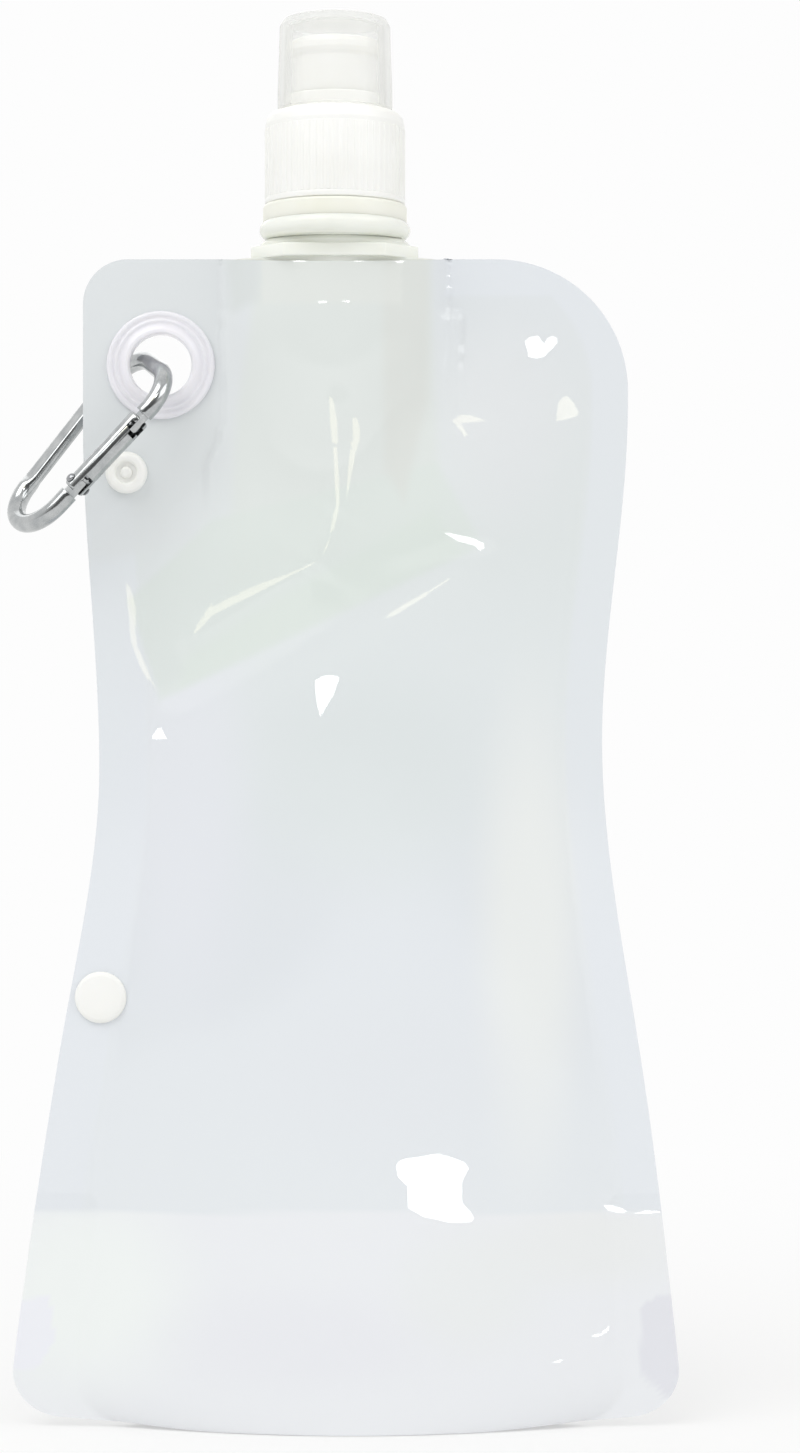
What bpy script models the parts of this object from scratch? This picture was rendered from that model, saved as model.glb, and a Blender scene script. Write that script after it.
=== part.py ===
# Collapsible water bottle: a flat film pouch with a welded spout, a screw closure with a pull-up
# drinking nozzle and a clear dust cap, an eyelet with a small carabiner, and a press snap that
# holds the pouch rolled up. Metres, +Z up, front towards -Y, standing on its opened bottom gusset.
import math

import bmesh
import bpy
from mathutils import Matrix, Vector

# Clearances and film
fit_gap = 0.0003            # gap left between pieces that touch
film_thickness = 0.0003
layer_gap = 0.0003          # between the front and back film where they are welded
seal_depth = layer_gap / 2 + film_thickness

# Pouch outline, front view
pouch_height = 0.2215
bottom_corner_radius = 0.0095
top_left_radius = 0.0085
top_right_radius = 0.0250
# Height, half of the pouch on that side, and the edge's slope there: foot, thigh, waist, shoulder
left_edge_stations = (
    (0.000, -0.0631, 0.090),
    (0.070, -0.0536, 0.165),
    (0.125, -0.0459, 0.0),
    (0.190, -0.0490, 0.0),
)
right_edge_stations = (
    (0.000, 0.0650, -0.090),
    (0.070, 0.0569, -0.155),
    (0.130, 0.0496, 0.0),
    (0.194, 0.0545, 0.0),
)
foot_centre = 0.0010        # middle of the flat part of the bottom edge
foot_flat = 0.0250          # half of its length
foot_rise = 0.0027          # how far the corners stand above it
foot_rise_height = 0.030    # height over which that rise fades out

# Welded borders and how far the film stands off the middle plane
left_seal_width = 0.0100
right_seal_width = 0.0080
top_seal_width = 0.0100
bottom_seal_height = 0.0060
corner_seal_rise = 0.0120   # height over which the left weld widens towards the eyelet
base_half_depth = 0.0100
belly_half_depth = 0.0080
shoulder_half_depth = 0.0078
belly_height = 0.110
shoulder_height = 0.180
bulge_power = 1.15          # how soon the bulge rises beside the welds
bulge_fade_height = 0.0465  # below the top weld, where the bulge runs out
channel_fade_height = 0.075 # below the spout's foot, where its channel runs out
gusset_fade_height = 0.012  # above the gusset's fold, where the room for its layers runs out
gusset_height = 0.0403
gusset_edge_inset = 0.0006
fold_height = 0.1093
fold_slit = 0.0006          # slit between the upper and lower film at the fold line

# Spout, all on one upright axis
spout_x = -0.00114
boat_half_length = 0.0205
boat_half_depth = 0.0096
boat_height = 0.0108
film_slack = 0.0010          # how far past the boat's ends the film starts to lift
boat_rib_count = 4
boat_rib_depth = 0.0007
bore_radius = 0.0082
boat_core_radius = 0.0093
neck_radius = 0.0106
plate_half_length = 0.0158
plate_half_depth = 0.0112
plate_corner_x = 0.0100
plate_corner_y = 0.0045
plate_thickness = 0.0012
collar_radius = 0.0143
collar_height = 0.0021
groove_radius = 0.0121
bead_radius = 0.01435
bead_gap = 0.0002           # groove's height between the collar and the bead
bead_height = 0.0035
lock_ring_radius = 0.0117
thread_pitch = 0.0030
thread_turns = 1.5
closure_thread_turns = 1.0
thread_height = 0.0012
thread_root_width = 0.0016
thread_crest_width = 0.0008
thread_radial_gap = 0.0005

# Screw closure with its chimney and valve post
tamper_band_height = 0.0022
tamper_band_radius = 0.0136
closure_radius = 0.0132
closure_rib_height = 0.0003
closure_rib_count = 44
closure_wall = 0.0009
closure_height = 0.0177
closure_shoulder = 0.0031
deck_thickness = 0.0024
liner_thickness = 0.0007
spigot_wall = 0.0010
spigot_height = 0.0029
chimney_radius = 0.0062
chimney_bore = 0.0053
chimney_height = 0.0088
chimney_bead = 0.00025
post_radius = 0.0020
post_tip_radius = 0.0023
spoke_count = 3
spoke_width = 0.0012
spoke_height = 0.0018

# Pull-up nozzle and clear dust cap
nozzle_rim_overhang = 0.0010
nozzle_height = 0.0131
nozzle_lift = 0.0004        # the closed nozzle's foot above the closure's top
nozzle_travel = 0.0030
dust_cap_radius = 0.0109
dust_cap_taper = 0.00035    # how much narrower it is at the top
dust_cap_wall = 0.00115

# Eyelet in the upper left corner
eyelet_x = -0.0342
eyelet_z = 0.2013
eyelet_bore = 0.00585
eyelet_barrel_radius = 0.0069
eyelet_flange_radius = 0.0103
eyelet_rim_thickness = 0.0008
eyelet_lip_height = 0.0016
eyelet_lip_width = 0.0028
eyelet_back_thickness = 0.0012

# Press snap: socket above, stud below, so that they meet when the pouch is rolled up
socket_x = -0.0407
socket_below_eyelet = 0.0204
socket_z = eyelet_z - socket_below_eyelet
socket_radius = 0.0040
socket_height = 0.0019
stud_x = -0.0456
stud_z = 0.0813
stud_radius = 0.0042
stud_boss_radius = 0.0020
stud_boss_height = 0.0022
snap_cap_radius = 0.00495
snap_cap_thickness = 0.0012
snap_post_radius = 0.0009
snap_head_radius = 0.00125

# Carabiner: its own plane leans back from the pouch, the gate in front and the spine behind
wire_radius = 0.00175
spine_half_thickness = 0.00135
carabiner_length = 0.0388   # along the wire's centreline
gate_line = 0.0092          # gate's distance from the carabiner's long axis
spine_near_hinge = -0.0043
spine_near_latch = -0.0119
carabiner_bend_radius = 0.0072
carabiner_slope = math.radians(46.9)
carabiner_lean = math.radians(56)
crossing_across = -0.0030   # where the wire passes the middle of the film, across the loop
crossing_offset = (-0.0019, 0.0005)
gate_radius = 0.00205
gate_bore = 0.0013
gate_start = -0.0082
gate_end = 0.0102
gate_end_gap = 0.0010       # between the gate's ends and the wire's
gate_slot_width = 0.0019
rivet_from_end = 0.0014
rivet_radius = 0.00055
rivet_head_radius = 0.0008
tongue_thickness = 0.0013
tongue_half_width = 0.0010
tongue_reach = 0.0012       # past the rivet
plunger_clearance = 0.00045
latch_pin_from_end = 0.0020
latch_pin_radius = 0.0005
latch_pin_length = 0.0029
spring_turns = 8
spring_wire_radius = 0.00017
spring_radius = 0.00085
plunger_radius = 0.0010

# Heights on the spout's axis, each from the one below it
plate_bottom = pouch_height + fit_gap
plate_top = plate_bottom + plate_thickness
collar_top = plate_top + collar_height
bead_bottom = collar_top + bead_gap
bead_top = bead_bottom + bead_height
band_bottom = bead_top + fit_gap
band_top = band_bottom + tamper_band_height
closure_bottom = band_top + fit_gap
closure_top = closure_bottom + closure_height
deck_underside = closure_top - deck_thickness
liner_top = deck_underside - fit_gap
liner_bottom = liner_top - liner_thickness
neck_rim = liner_bottom - fit_gap
thread_start = closure_bottom + 0.0052
nozzle_bottom = closure_top + nozzle_lift
nozzle_top = nozzle_bottom + nozzle_height
dust_cap_bottom = closure_top + fit_gap
dust_cap_top = nozzle_top + nozzle_travel + fit_gap + dust_cap_wall
closure_inner_radius = closure_radius - closure_wall
dust_cap_bore = dust_cap_radius - dust_cap_wall
spigot_radius = dust_cap_bore - fit_gap
channel_radius = spigot_radius - spigot_wall
nozzle_radius = channel_radius - fit_gap
nozzle_rim_radius = nozzle_radius + nozzle_rim_overhang
rivet_along = gate_start + rivet_from_end
latch_pin_along = gate_end - latch_pin_from_end


def clear_scene():
    for obj in list(bpy.data.objects):
        bpy.data.objects.remove(obj)


def material(name, colour, roughness, metallic=0.0, alpha=1.0):
    made = bpy.data.materials.new(name)
    made.use_nodes = True
    shader = made.node_tree.nodes["Principled BSDF"]
    shader.inputs["Base Color"].default_value = (*colour, 1.0)
    shader.inputs["Roughness"].default_value = roughness
    shader.inputs["Metallic"].default_value = metallic
    shader.inputs["Alpha"].default_value = alpha
    return made


def add_object(name, mesh, finish=None):
    obj = bpy.data.objects.new(name, mesh)
    bpy.context.scene.collection.objects.link(obj)
    if finish:
        obj.data.materials.append(finish)
    return obj


def from_bmesh(name, bm, finish=None, smooth=True):
    bmesh.ops.recalc_face_normals(bm, faces=bm.faces)
    mesh = bpy.data.meshes.new(name)
    bm.to_mesh(mesh)
    bm.free()
    if smooth:
        mesh.shade_smooth()
        mesh.set_sharp_from_angle(angle=math.radians(35))
    return add_object(name, mesh, finish)


def empty(name, matrix, parent=None):
    obj = add_object(name, None)
    obj.parent = parent
    obj.matrix_world = matrix
    return obj


def hide_cutter(obj):
    obj.hide_render = True
    obj.display_type = "WIRE"


def boolean(obj, other, operation):
    modifier = obj.modifiers.new(f"{operation} {other.name}", "BOOLEAN")
    modifier.operation = operation
    modifier.object = other
    hide_cutter(other)


def turned(name, profile, finish, steps=24, closed=True):
    """A profile of (radius, height) points turned round Z. A closed profile makes a ring."""
    mesh = bpy.data.meshes.new(name)
    points = [(radius, 0.0, height) for radius, height in profile]
    edges = [(i, i + 1) for i in range(len(points) - 1)]
    if closed:
        edges.append((len(points) - 1, 0))
    mesh.from_pydata(points, edges, [])
    obj = add_object(name, mesh, finish)
    screw = obj.modifiers.new("Turn", "SCREW")
    screw.axis = "Z"
    screw.angle = math.tau
    screw.steps = steps
    screw.render_steps = steps
    screw.use_merge_vertices = True
    screw.merge_threshold = 0.00001
    screw.use_smooth_shade = True
    return obj


def prism(name, outline, low, high, finish=None):
    """An outline of (x, y) points extruded from one height to another."""
    bm = bmesh.new()
    base = bm.faces.new([bm.verts.new((x, y, low)) for x, y in outline])
    made = bmesh.ops.extrude_face_region(bm, geom=[base])
    moved = [v for v in made["geom"] if isinstance(v, bmesh.types.BMVert)]
    bmesh.ops.translate(bm, vec=(0, 0, high - low), verts=moved)
    return from_bmesh(name, bm, finish, smooth=False)


def block(name, low, high, parent=None):
    outline = [(low[0], low[1]), (high[0], low[1]), (high[0], high[1]), (low[0], high[1])]
    obj = prism(name, outline, low[2], high[2])
    obj.parent = parent
    return obj


def circle(radius, steps, centre=(0.0, 0.0)):
    angles = [math.tau * i / steps for i in range(steps)]
    return [(centre[0] + radius * math.cos(a), centre[1] + radius * math.sin(a)) for a in angles]


def smooth_step(t):
    t = min(1.0, max(0.0, t))
    return t * t * (3 - 2 * t)


def through_stations(stations, height):
    """Cubic curve through (height, value, slope) stations, held flat past both ends."""
    if height <= stations[0][0]:
        return stations[0][1]
    for low, high in zip(stations, stations[1:]):
        if height <= high[0]:
            span = high[0] - low[0]
            t = (height - low[0]) / span
            blend = smooth_step(t)
            return (
                low[1] * (1 - blend) + high[1] * blend
                + span * (low[2] * (t**3 - 2 * t * t + t) + high[2] * (t**3 - t * t))
            )
    return stations[-1][1]


def corner_inset(height, corner_height, radius):
    """How far a round corner takes the edge in, at a height past the corner's centre."""
    past = min(radius, max(0.0, height - (corner_height - radius)))
    return radius - math.sqrt(radius * radius - past * past)


def left_edge(z):
    inset = corner_inset(z, pouch_height, top_left_radius)
    inset += corner_inset(-z, 0.0, bottom_corner_radius)
    return through_stations(left_edge_stations, z) + inset


def right_edge(z):
    inset = corner_inset(z, pouch_height, top_right_radius)
    inset += corner_inset(-z, 0.0, bottom_corner_radius)
    return through_stations(right_edge_stations, z) - inset


def left_seal(z):
    """Inner border of the left weld, which widens round the socket and the eyelet."""
    plain = left_edge(z) + left_seal_width
    corner = spout_x - boat_half_length - film_slack
    start = socket_z - 2.2 * socket_radius - corner_seal_rise
    beside_eyelet = eyelet_z - eyelet_flange_radius
    return plain + (corner - plain) * smooth_step((z - start) / (beside_eyelet - start))


def right_seal(z):
    return right_edge(z) - right_seal_width


def boat_cover(x, margin=0.0):
    """Half depth of the boat-shaped spout foot at x: two arcs that meet in points."""
    reach = max(0.0, abs(x - spout_x) - margin)
    if reach >= boat_half_length:
        return 0.0
    arc = (boat_half_length**2 + boat_half_depth**2) / (2 * boat_half_depth)
    return math.sqrt(arc * arc - reach * reach) - (arc - boat_half_depth)


depth_stations = (
    (0.0, base_half_depth - seal_depth, 0.0),
    (belly_height, belly_half_depth - seal_depth, 0.0),
    (shoulder_height, shoulder_half_depth - seal_depth, 0.0),
)


def film_face(x, z):
    """Distance of the film's outer face from the pouch's middle plane."""
    low, high = left_seal(z), right_seal(z)
    across = min(1.0, max(-1.0, 2 * (x - low) / (high - low) - 1))
    pillow = (1 - across * across) ** bulge_power
    fade = smooth_step((pouch_height - top_seal_width - z) / bulge_fade_height)
    body = through_stations(depth_stations, z) * pillow * fade
    channel = boat_cover(x, film_slack) + fit_gap if boat_cover(x, film_slack) > 0 else 0.0
    channel *= 1 - smooth_step((pouch_height - boat_height - z) / channel_fade_height)
    gusset_room = film_thickness + layer_gap
    gusset_room *= 1 - smooth_step((z - gusset_height) / gusset_fade_height)
    return seal_depth + max(body, channel, gusset_room)


def foot_lift(x, z):
    """The bottom edge is flat in the middle and rises a little to its corners."""
    past = max(0.0, abs(x - foot_centre) - foot_flat)
    reach = right_edge_stations[0][1] - foot_centre - foot_flat
    return foot_rise * min(1.0, past / reach) ** 1.5 * max(0.0, 1 - z / foot_rise_height)


def arc_heights(low, high, rows, rising):
    """Heights that follow a round corner, close together where it turns level."""
    turns = [math.pi / 2 * i / rows for i in range(rows + 1)]
    if rising:
        return [low + (high - low) * math.sin(a) for a in turns]
    return [low + (high - low) * (1 - math.cos(a)) for a in turns]


def even_heights(low, high, rows):
    return [low + (high - low) * i / rows for i in range(rows + 1)]


lower_rows = (
    arc_heights(0.0, bottom_corner_radius, 4, rising=False)
    + even_heights(bottom_corner_radius, fold_height - fold_slit / 2, 7)[1:]
)
upper_rows = (
    even_heights(fold_height + fold_slit / 2, pouch_height - top_right_radius, 6)
    + arc_heights(pouch_height - top_right_radius, pouch_height, 6, rising=True)[1:]
)
inner_columns = 14


def film_columns(z, edge_inset=0.0):
    """Across the pouch: the edge, the weld's inner border, even steps, and the same again."""
    low, high = left_seal(z), right_seal(z)
    inside = [low + (high - low) * i / inner_columns for i in range(inner_columns + 1)]
    return [left_edge(z) + edge_inset, *inside, right_edge(z) - edge_inset]


def film_panel(name, side, rows, finish):
    """One film between two heights. side is -1 for the front film and 1 for the back one."""
    bm = bmesh.new()
    grid = []
    for z in rows:
        line = []
        for x in film_columns(z):
            line.append(bm.verts.new((x, side * film_face(x, z), z + foot_lift(x, z))))
        grid.append(line)
    for below, above in zip(grid, grid[1:]):
        for i in range(len(below) - 1):
            bm.faces.new((below[i], below[i + 1], above[i + 1], above[i]))
    made = bmesh.ops.extrude_face_region(bm, geom=list(bm.faces))
    moved = [v for v in made["geom"] if isinstance(v, bmesh.types.BMVert)]
    bmesh.ops.translate(bm, vec=(0, -side * film_thickness, 0), verts=moved)
    return from_bmesh(name, bm, finish)


def front_cutter(name, radius, x, z, steps):
    """A round cutter from front to back through both films."""
    cutter = prism(name, circle(radius, steps), -0.012, 0.012)
    cutter.matrix_world = Matrix.Translation((x, 0, z)) @ Matrix.Rotation(math.pi / 2, 4, "X")
    return cutter


def make_films(film):
    upper = [film_panel("front_film_upper", -1, upper_rows, film),
             film_panel("back_film_upper", 1, upper_rows, film)]
    lower = [film_panel("front_film_lower", -1, lower_rows, film),
             film_panel("back_film_lower", 1, lower_rows, film)]
    eyelet_hole = front_cutter("eyelet_hole", eyelet_barrel_radius + fit_gap, eyelet_x, eyelet_z, 24)
    socket_hole = front_cutter("socket_hole", snap_post_radius + fit_gap, socket_x, socket_z, 12)
    stud_hole = front_cutter("stud_hole", snap_post_radius + fit_gap, stud_x, stud_z, 12)
    for film_half in upper:
        boolean(film_half, eyelet_hole, "DIFFERENCE")
        boolean(film_half, socket_hole, "DIFFERENCE")
    for film_half in lower:
        boolean(film_half, stud_hole, "DIFFERENCE")
    return upper, lower


def gusset_rows():
    rows = arc_heights(0.0, bottom_corner_radius, 3, rising=False)
    return rows + even_heights(bottom_corner_radius, gusset_height, 4)[1:]


def make_gusset(film):
    """The bottom film: between both panels at the foot, folded up to an edge in the middle."""
    rows = gusset_rows()
    bm = bmesh.new()
    skins = []
    for inwards in (0.0, film_thickness):
        skin = []
        for side in (-1, 1):
            leg = []
            for z in rows:
                rise = smooth_step((z - bottom_seal_height) / (gusset_height - bottom_seal_height))
                top = z - inwards if z == rows[-1] else z
                line = []
                for x in film_columns(z, gusset_edge_inset):
                    open_depth = film_face(x, z) - film_thickness - layer_gap - seal_depth
                    depth = seal_depth + open_depth * (1 - rise) - inwards
                    line.append(bm.verts.new((x, side * depth, top + foot_lift(x, z))))
                leg.append(line)
            skin += leg if side < 0 else leg[::-1]
        skins.append(skin)
    for skin in skins:
        for first, second in zip(skin, skin[1:]):
            for i in range(len(first) - 1):
                bm.faces.new((first[i], first[i + 1], second[i + 1], second[i]))
    outer, inner = skins
    for first, second in ((outer[0], inner[0]), (outer[-1], inner[-1])):
        for i in range(len(first) - 1):
            bm.faces.new((first[i], first[i + 1], second[i + 1], second[i]))
    for column in (0, -1):
        for i in range(len(outer) - 1):
            bm.faces.new((outer[i][column], outer[i + 1][column], inner[i + 1][column], inner[i][column]))
    return from_bmesh("bottom_gusset", bm, film)


def thread(name, root_radius, crest_radius, start, turns, start_angle):
    """A helical ridge with a flat crest, sunk a little into the wall that carries it."""
    steps_per_turn = 18
    count = round(turns * steps_per_turn)
    outward = crest_radius > root_radius
    sink = -0.0004 if outward else 0.0004
    bm = bmesh.new()
    rings = []
    for i in range(count + 1):
        angle = start_angle + math.tau * i / steps_per_turn
        centre = start + thread_pitch * i / steps_per_turn
        run_out = min(1.0, 0.25 + min(i, count - i) / 3)
        crest = root_radius + (crest_radius - root_radius) * run_out
        section = (
            (root_radius + sink, -thread_root_width / 2),
            (crest, -thread_crest_width / 2),
            (crest, thread_crest_width / 2),
            (root_radius + sink, thread_root_width / 2),
        )
        rings.append([
            bm.verts.new((radius * math.cos(angle), radius * math.sin(angle), centre + offset))
            for radius, offset in section
        ])
    for first, second in zip(rings, rings[1:]):
        for i in range(4):
            j = (i + 1) % 4
            bm.faces.new((first[i], first[j], second[j], second[i]))
    bm.faces.new(rings[0])
    bm.faces.new(rings[-1])
    return from_bmesh(name, bm, smooth=False)


def boat_outline(inset, steps=12):
    """The boat's outline seen from above, taken in all round by inset."""
    reach = boat_half_length - inset
    xs = [-reach * math.cos(math.pi * i / steps) for i in range(steps + 1)]
    near = [(x, -max(0.0002, boat_cover(spout_x + x) - inset)) for x in xs]
    far = [(x, -y) for x, y in reversed(near)]
    return near + far


def make_spout(finish, origin):
    """Boat-shaped weld foot, two flanges, the neck with its thread, and one bore through all."""
    boat_bottom = pouch_height - boat_height
    profile = [
        (0, neck_rim), (neck_radius - 0.0007, neck_rim), (neck_radius, neck_rim - 0.0007),
        (neck_radius, band_top + 0.0020), (lock_ring_radius, band_top + 0.0014),
        (lock_ring_radius, band_top + 0.0008), (neck_radius, band_top + 0.0002),
        (neck_radius, bead_top), (bead_radius - 0.0013, bead_top), (bead_radius - 0.0003, bead_top - 0.0008),
        (bead_radius, bead_top - bead_height / 2), (bead_radius - 0.0004, bead_bottom + 0.0008),
        (groove_radius, bead_bottom), (groove_radius, collar_top),
        (collar_radius - 0.0007, collar_top - 0.0007), (collar_radius, collar_top - 0.0014),
        (collar_radius, plate_top - 0.0002), (boat_core_radius, plate_top - 0.0002),
        (boat_core_radius, boat_bottom), (0, boat_bottom),
    ]
    spout = turned("spout", profile, finish, steps=28, closed=False)
    side = [
        (plate_half_length, -plate_corner_y), (plate_half_length, plate_corner_y),
        (plate_corner_x, plate_half_depth), (-plate_corner_x, plate_half_depth),
    ]
    hexagon = side + [(-x, -y) for x, y in side]
    rib_pitch = boat_height / boat_rib_count
    joined = [
        prism("weld_plate", hexagon, plate_bottom, plate_top),
        prism("boat_core", boat_outline(boat_rib_depth), boat_bottom + 0.0003, plate_bottom + 0.0002),
        thread("neck_thread", neck_radius, neck_radius + thread_height, thread_start, thread_turns, 0.0),
    ]
    for i in range(boat_rib_count):
        low = boat_bottom + i * rib_pitch
        joined.append(prism(f"boat_rib_{i + 1}", boat_outline(0.0), low, low + rib_pitch * 0.55))
    bore = prism("spout_bore", circle(bore_radius, 28), boat_bottom - 0.002, neck_rim + 0.002)
    for piece in [*joined, bore]:
        piece.parent = origin
    for piece in joined:
        boolean(spout, piece, "UNION")
    boolean(spout, bore, "DIFFERENCE")
    spout.parent = origin
    return spout


def make_tamper_band(finish, origin):
    inner = lock_ring_radius - 0.0003
    profile = [
        (inner, band_top), (tamper_band_radius - 0.0003, band_top),
        (tamper_band_radius, band_top - 0.0004), (tamper_band_radius, band_bottom + 0.0007),
        (tamper_band_radius - 0.0006, band_bottom), (inner, band_bottom),
    ]
    band = turned("tamper_band", profile, finish)
    band.parent = origin
    return band


def make_liner(finish, origin):
    outer = closure_inner_radius - fit_gap
    profile = [
        (bore_radius + fit_gap, liner_top), (outer, liner_top),
        (outer, liner_bottom), (bore_radius + fit_gap, liner_bottom),
    ]
    liner = turned("closure_liner", profile, finish, steps=20)
    liner.parent = origin
    return liner


def rib_sleeve(low, high):
    """The ring of fine upright ribs, a toothed sleeve round the closure's skirt."""
    count = 2 * closure_rib_count
    outer = []
    inner = []
    for i in range(count):
        a = math.tau * i / count
        radius = closure_radius + (closure_rib_height if i % 2 else -0.00005)
        outer.append((radius * math.cos(a), radius * math.sin(a)))
        inside = closure_radius - 0.0004
        inner.append((inside * math.cos(a), inside * math.sin(a)))
    bm = bmesh.new()
    levels = [[bm.verts.new((*p, z)) for p in ring] for z, ring in
              ((low, inner), (low, outer), (high, outer), (high, inner))]
    for first, second in zip(levels, levels[1:] + levels[:1]):
        for i in range(count):
            j = (i + 1) % count
            bm.faces.new((first[i], first[j], second[j], second[i]))
    return from_bmesh("closure_ribs", bm, smooth=False)


def make_closure(finish, origin):
    """Ribbed screw cap with a spigot for the dust cap, a chimney for the nozzle and a valve post."""
    spigot_top = closure_top + spigot_height
    chimney_top = closure_top + chimney_height
    profile = [
        (spigot_radius - 0.0002, spigot_top), (spigot_radius, spigot_top - 0.0003),
        (spigot_radius, closure_top), (closure_radius - 0.0021, closure_top),
        (closure_radius - 0.0009, closure_top - 0.0006), (closure_radius - 0.0002, closure_top - 0.0017),
        (closure_radius, closure_top - closure_shoulder), (closure_radius, closure_bottom + 0.0002),
        (closure_radius - 0.0002, closure_bottom), (closure_inner_radius, closure_bottom),
        (closure_inner_radius, deck_underside), (chimney_bore, deck_underside),
        (chimney_bore, chimney_top), (chimney_radius, chimney_top),
        (chimney_radius + chimney_bead, chimney_top - 0.0004),
        (chimney_radius + chimney_bead, chimney_top - 0.0010),
        (chimney_radius, chimney_top - 0.0013), (chimney_radius, closure_top),
        (channel_radius, closure_top), (channel_radius, spigot_top),
    ]
    closure = turned("closure", profile, finish, steps=28)
    post_top = nozzle_top - 0.0004
    post_profile = [
        (0, post_top), (post_tip_radius - 0.0003, post_top), (post_tip_radius, post_top - 0.0003),
        (post_tip_radius, post_top - 0.0018), (post_radius, post_top - 0.0024),
        (post_radius, deck_underside), (0, deck_underside),
    ]
    post = turned("valve_post", post_profile, None, steps=16, closed=False)
    joined = [post, rib_sleeve(closure_bottom + 0.0012, closure_top - closure_shoulder - 0.0004)]
    for i in range(spoke_count):
        reach = chimney_bore + 0.0004
        spoke = block(f"valve_spoke_{i + 1}", (0.0005, -spoke_width / 2, deck_underside + 0.0001),
                      (reach, spoke_width / 2, deck_underside + 0.0001 + spoke_height))
        spoke.rotation_euler.z = math.tau * i / spoke_count
        joined.append(spoke)
    # Starting half a turn on at the same height puts this thread midway under the neck's
    joined.append(thread("closure_thread", closure_inner_radius, neck_radius + thread_radial_gap,
                         thread_start, closure_thread_turns, math.pi))
    for piece in joined:
        piece.parent = origin
        boolean(closure, piece, "UNION")
    closure.parent = origin
    return closure


def make_nozzle(finish, origin):
    inner = chimney_radius + chimney_bead + fit_gap
    hole = post_tip_radius + fit_gap
    underside = nozzle_top - 0.0023
    profile = [
        (hole, nozzle_top), (nozzle_rim_radius - 0.0013, nozzle_top),
        (nozzle_rim_radius - 0.0004, nozzle_top - 0.0004), (nozzle_rim_radius, nozzle_top - 0.0012),
        (nozzle_rim_radius, nozzle_top - 0.0024), (nozzle_rim_radius - 0.0005, nozzle_top - 0.0032),
        (nozzle_radius, nozzle_top - 0.0036), (nozzle_radius, nozzle_bottom),
        (inner - 0.0002, nozzle_bottom), (inner - 0.0002, nozzle_bottom + 0.0005),
        (inner, nozzle_bottom + 0.0008), (inner, nozzle_top - 0.0040), (hole, underside),
    ]
    nozzle = turned("nozzle", profile, finish)
    nozzle.parent = origin
    return nozzle


def make_dust_cap(finish, origin):
    top_radius = dust_cap_radius - dust_cap_taper
    inner_top = top_radius - dust_cap_wall
    ceiling = dust_cap_top - dust_cap_wall
    profile = [
        (0, dust_cap_top), (top_radius - 0.0023, dust_cap_top), (top_radius - 0.0008, dust_cap_top - 0.0005),
        (top_radius, dust_cap_top - 0.0019), (dust_cap_radius, dust_cap_bottom + spigot_height),
        (dust_cap_radius, dust_cap_bottom), (dust_cap_bore, dust_cap_bottom),
        (dust_cap_bore, dust_cap_bottom + spigot_height), (inner_top, ceiling - 0.0010),
        (inner_top - 0.0008, ceiling - 0.0002), (0, ceiling),
    ]
    cap = turned("dust_cap", profile, finish, closed=False)
    cap.parent = origin
    return cap


def facing(side, x, z):
    """Frame with its Z out of the pouch: side -1 looks to the front, 1 to the back."""
    turn = Matrix.Rotation(-side * math.pi / 2, 4, "X")
    return Matrix.Translation((x, 0, z)) @ turn


def make_eyelet(finish):
    """Two moulded rings: the front one has the barrel that the back one is pressed onto."""
    seat = seal_depth + fit_gap
    rim = eyelet_flange_radius
    thick = eyelet_rim_thickness
    lip = eyelet_lip_height
    back_end = -(seat + eyelet_back_thickness)
    front_profile = [
        (rim - thick, seat + thick), (rim - thick / 4, seat + thick * 0.75), (rim, seat),
        (eyelet_barrel_radius, seat), (eyelet_barrel_radius, back_end), (eyelet_bore + fit_gap, back_end),
        (eyelet_bore, back_end + 2 * fit_gap), (eyelet_bore, seat + lip * 0.375),
        (eyelet_bore + eyelet_lip_width * 0.18, seat + lip * 0.875),
        (eyelet_bore + eyelet_lip_width * 0.46, seat + lip),
        (eyelet_bore + eyelet_lip_width * 0.75, seat + lip * 0.625),
        (eyelet_bore + eyelet_lip_width, seat + lip * 0.3125),
    ]
    back_bore = eyelet_barrel_radius + fit_gap
    back_profile = [
        (back_bore, -seat), (rim, -seat), (rim - thick / 8, -seat - eyelet_back_thickness / 2),
        (rim - thick, back_end), (back_bore, back_end),
    ]
    front = turned("eyelet_front", front_profile, finish, steps=28)
    back = turned("eyelet_back", back_profile, finish, steps=28)
    for ring in (front, back):
        ring.matrix_world = facing(-1, eyelet_x, eyelet_z)
    return front, back


def snap_cap_profile(head_height):
    """Smooth disc with a post through the film, its tip pressed out into a head."""
    seat = seal_depth + fit_gap
    top = seat + snap_cap_thickness
    rim = snap_cap_radius
    return [
        (0, top), (rim - 0.0012, top - 0.0001), (rim - 0.0003, top - 0.0004), (rim, top - 0.0008),
        (rim - 0.0003, seat), (snap_post_radius, seat), (snap_post_radius, head_height),
        (snap_head_radius, head_height), (snap_head_radius, head_height - 0.0004), (0, head_height - 0.0006),
    ]


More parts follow.
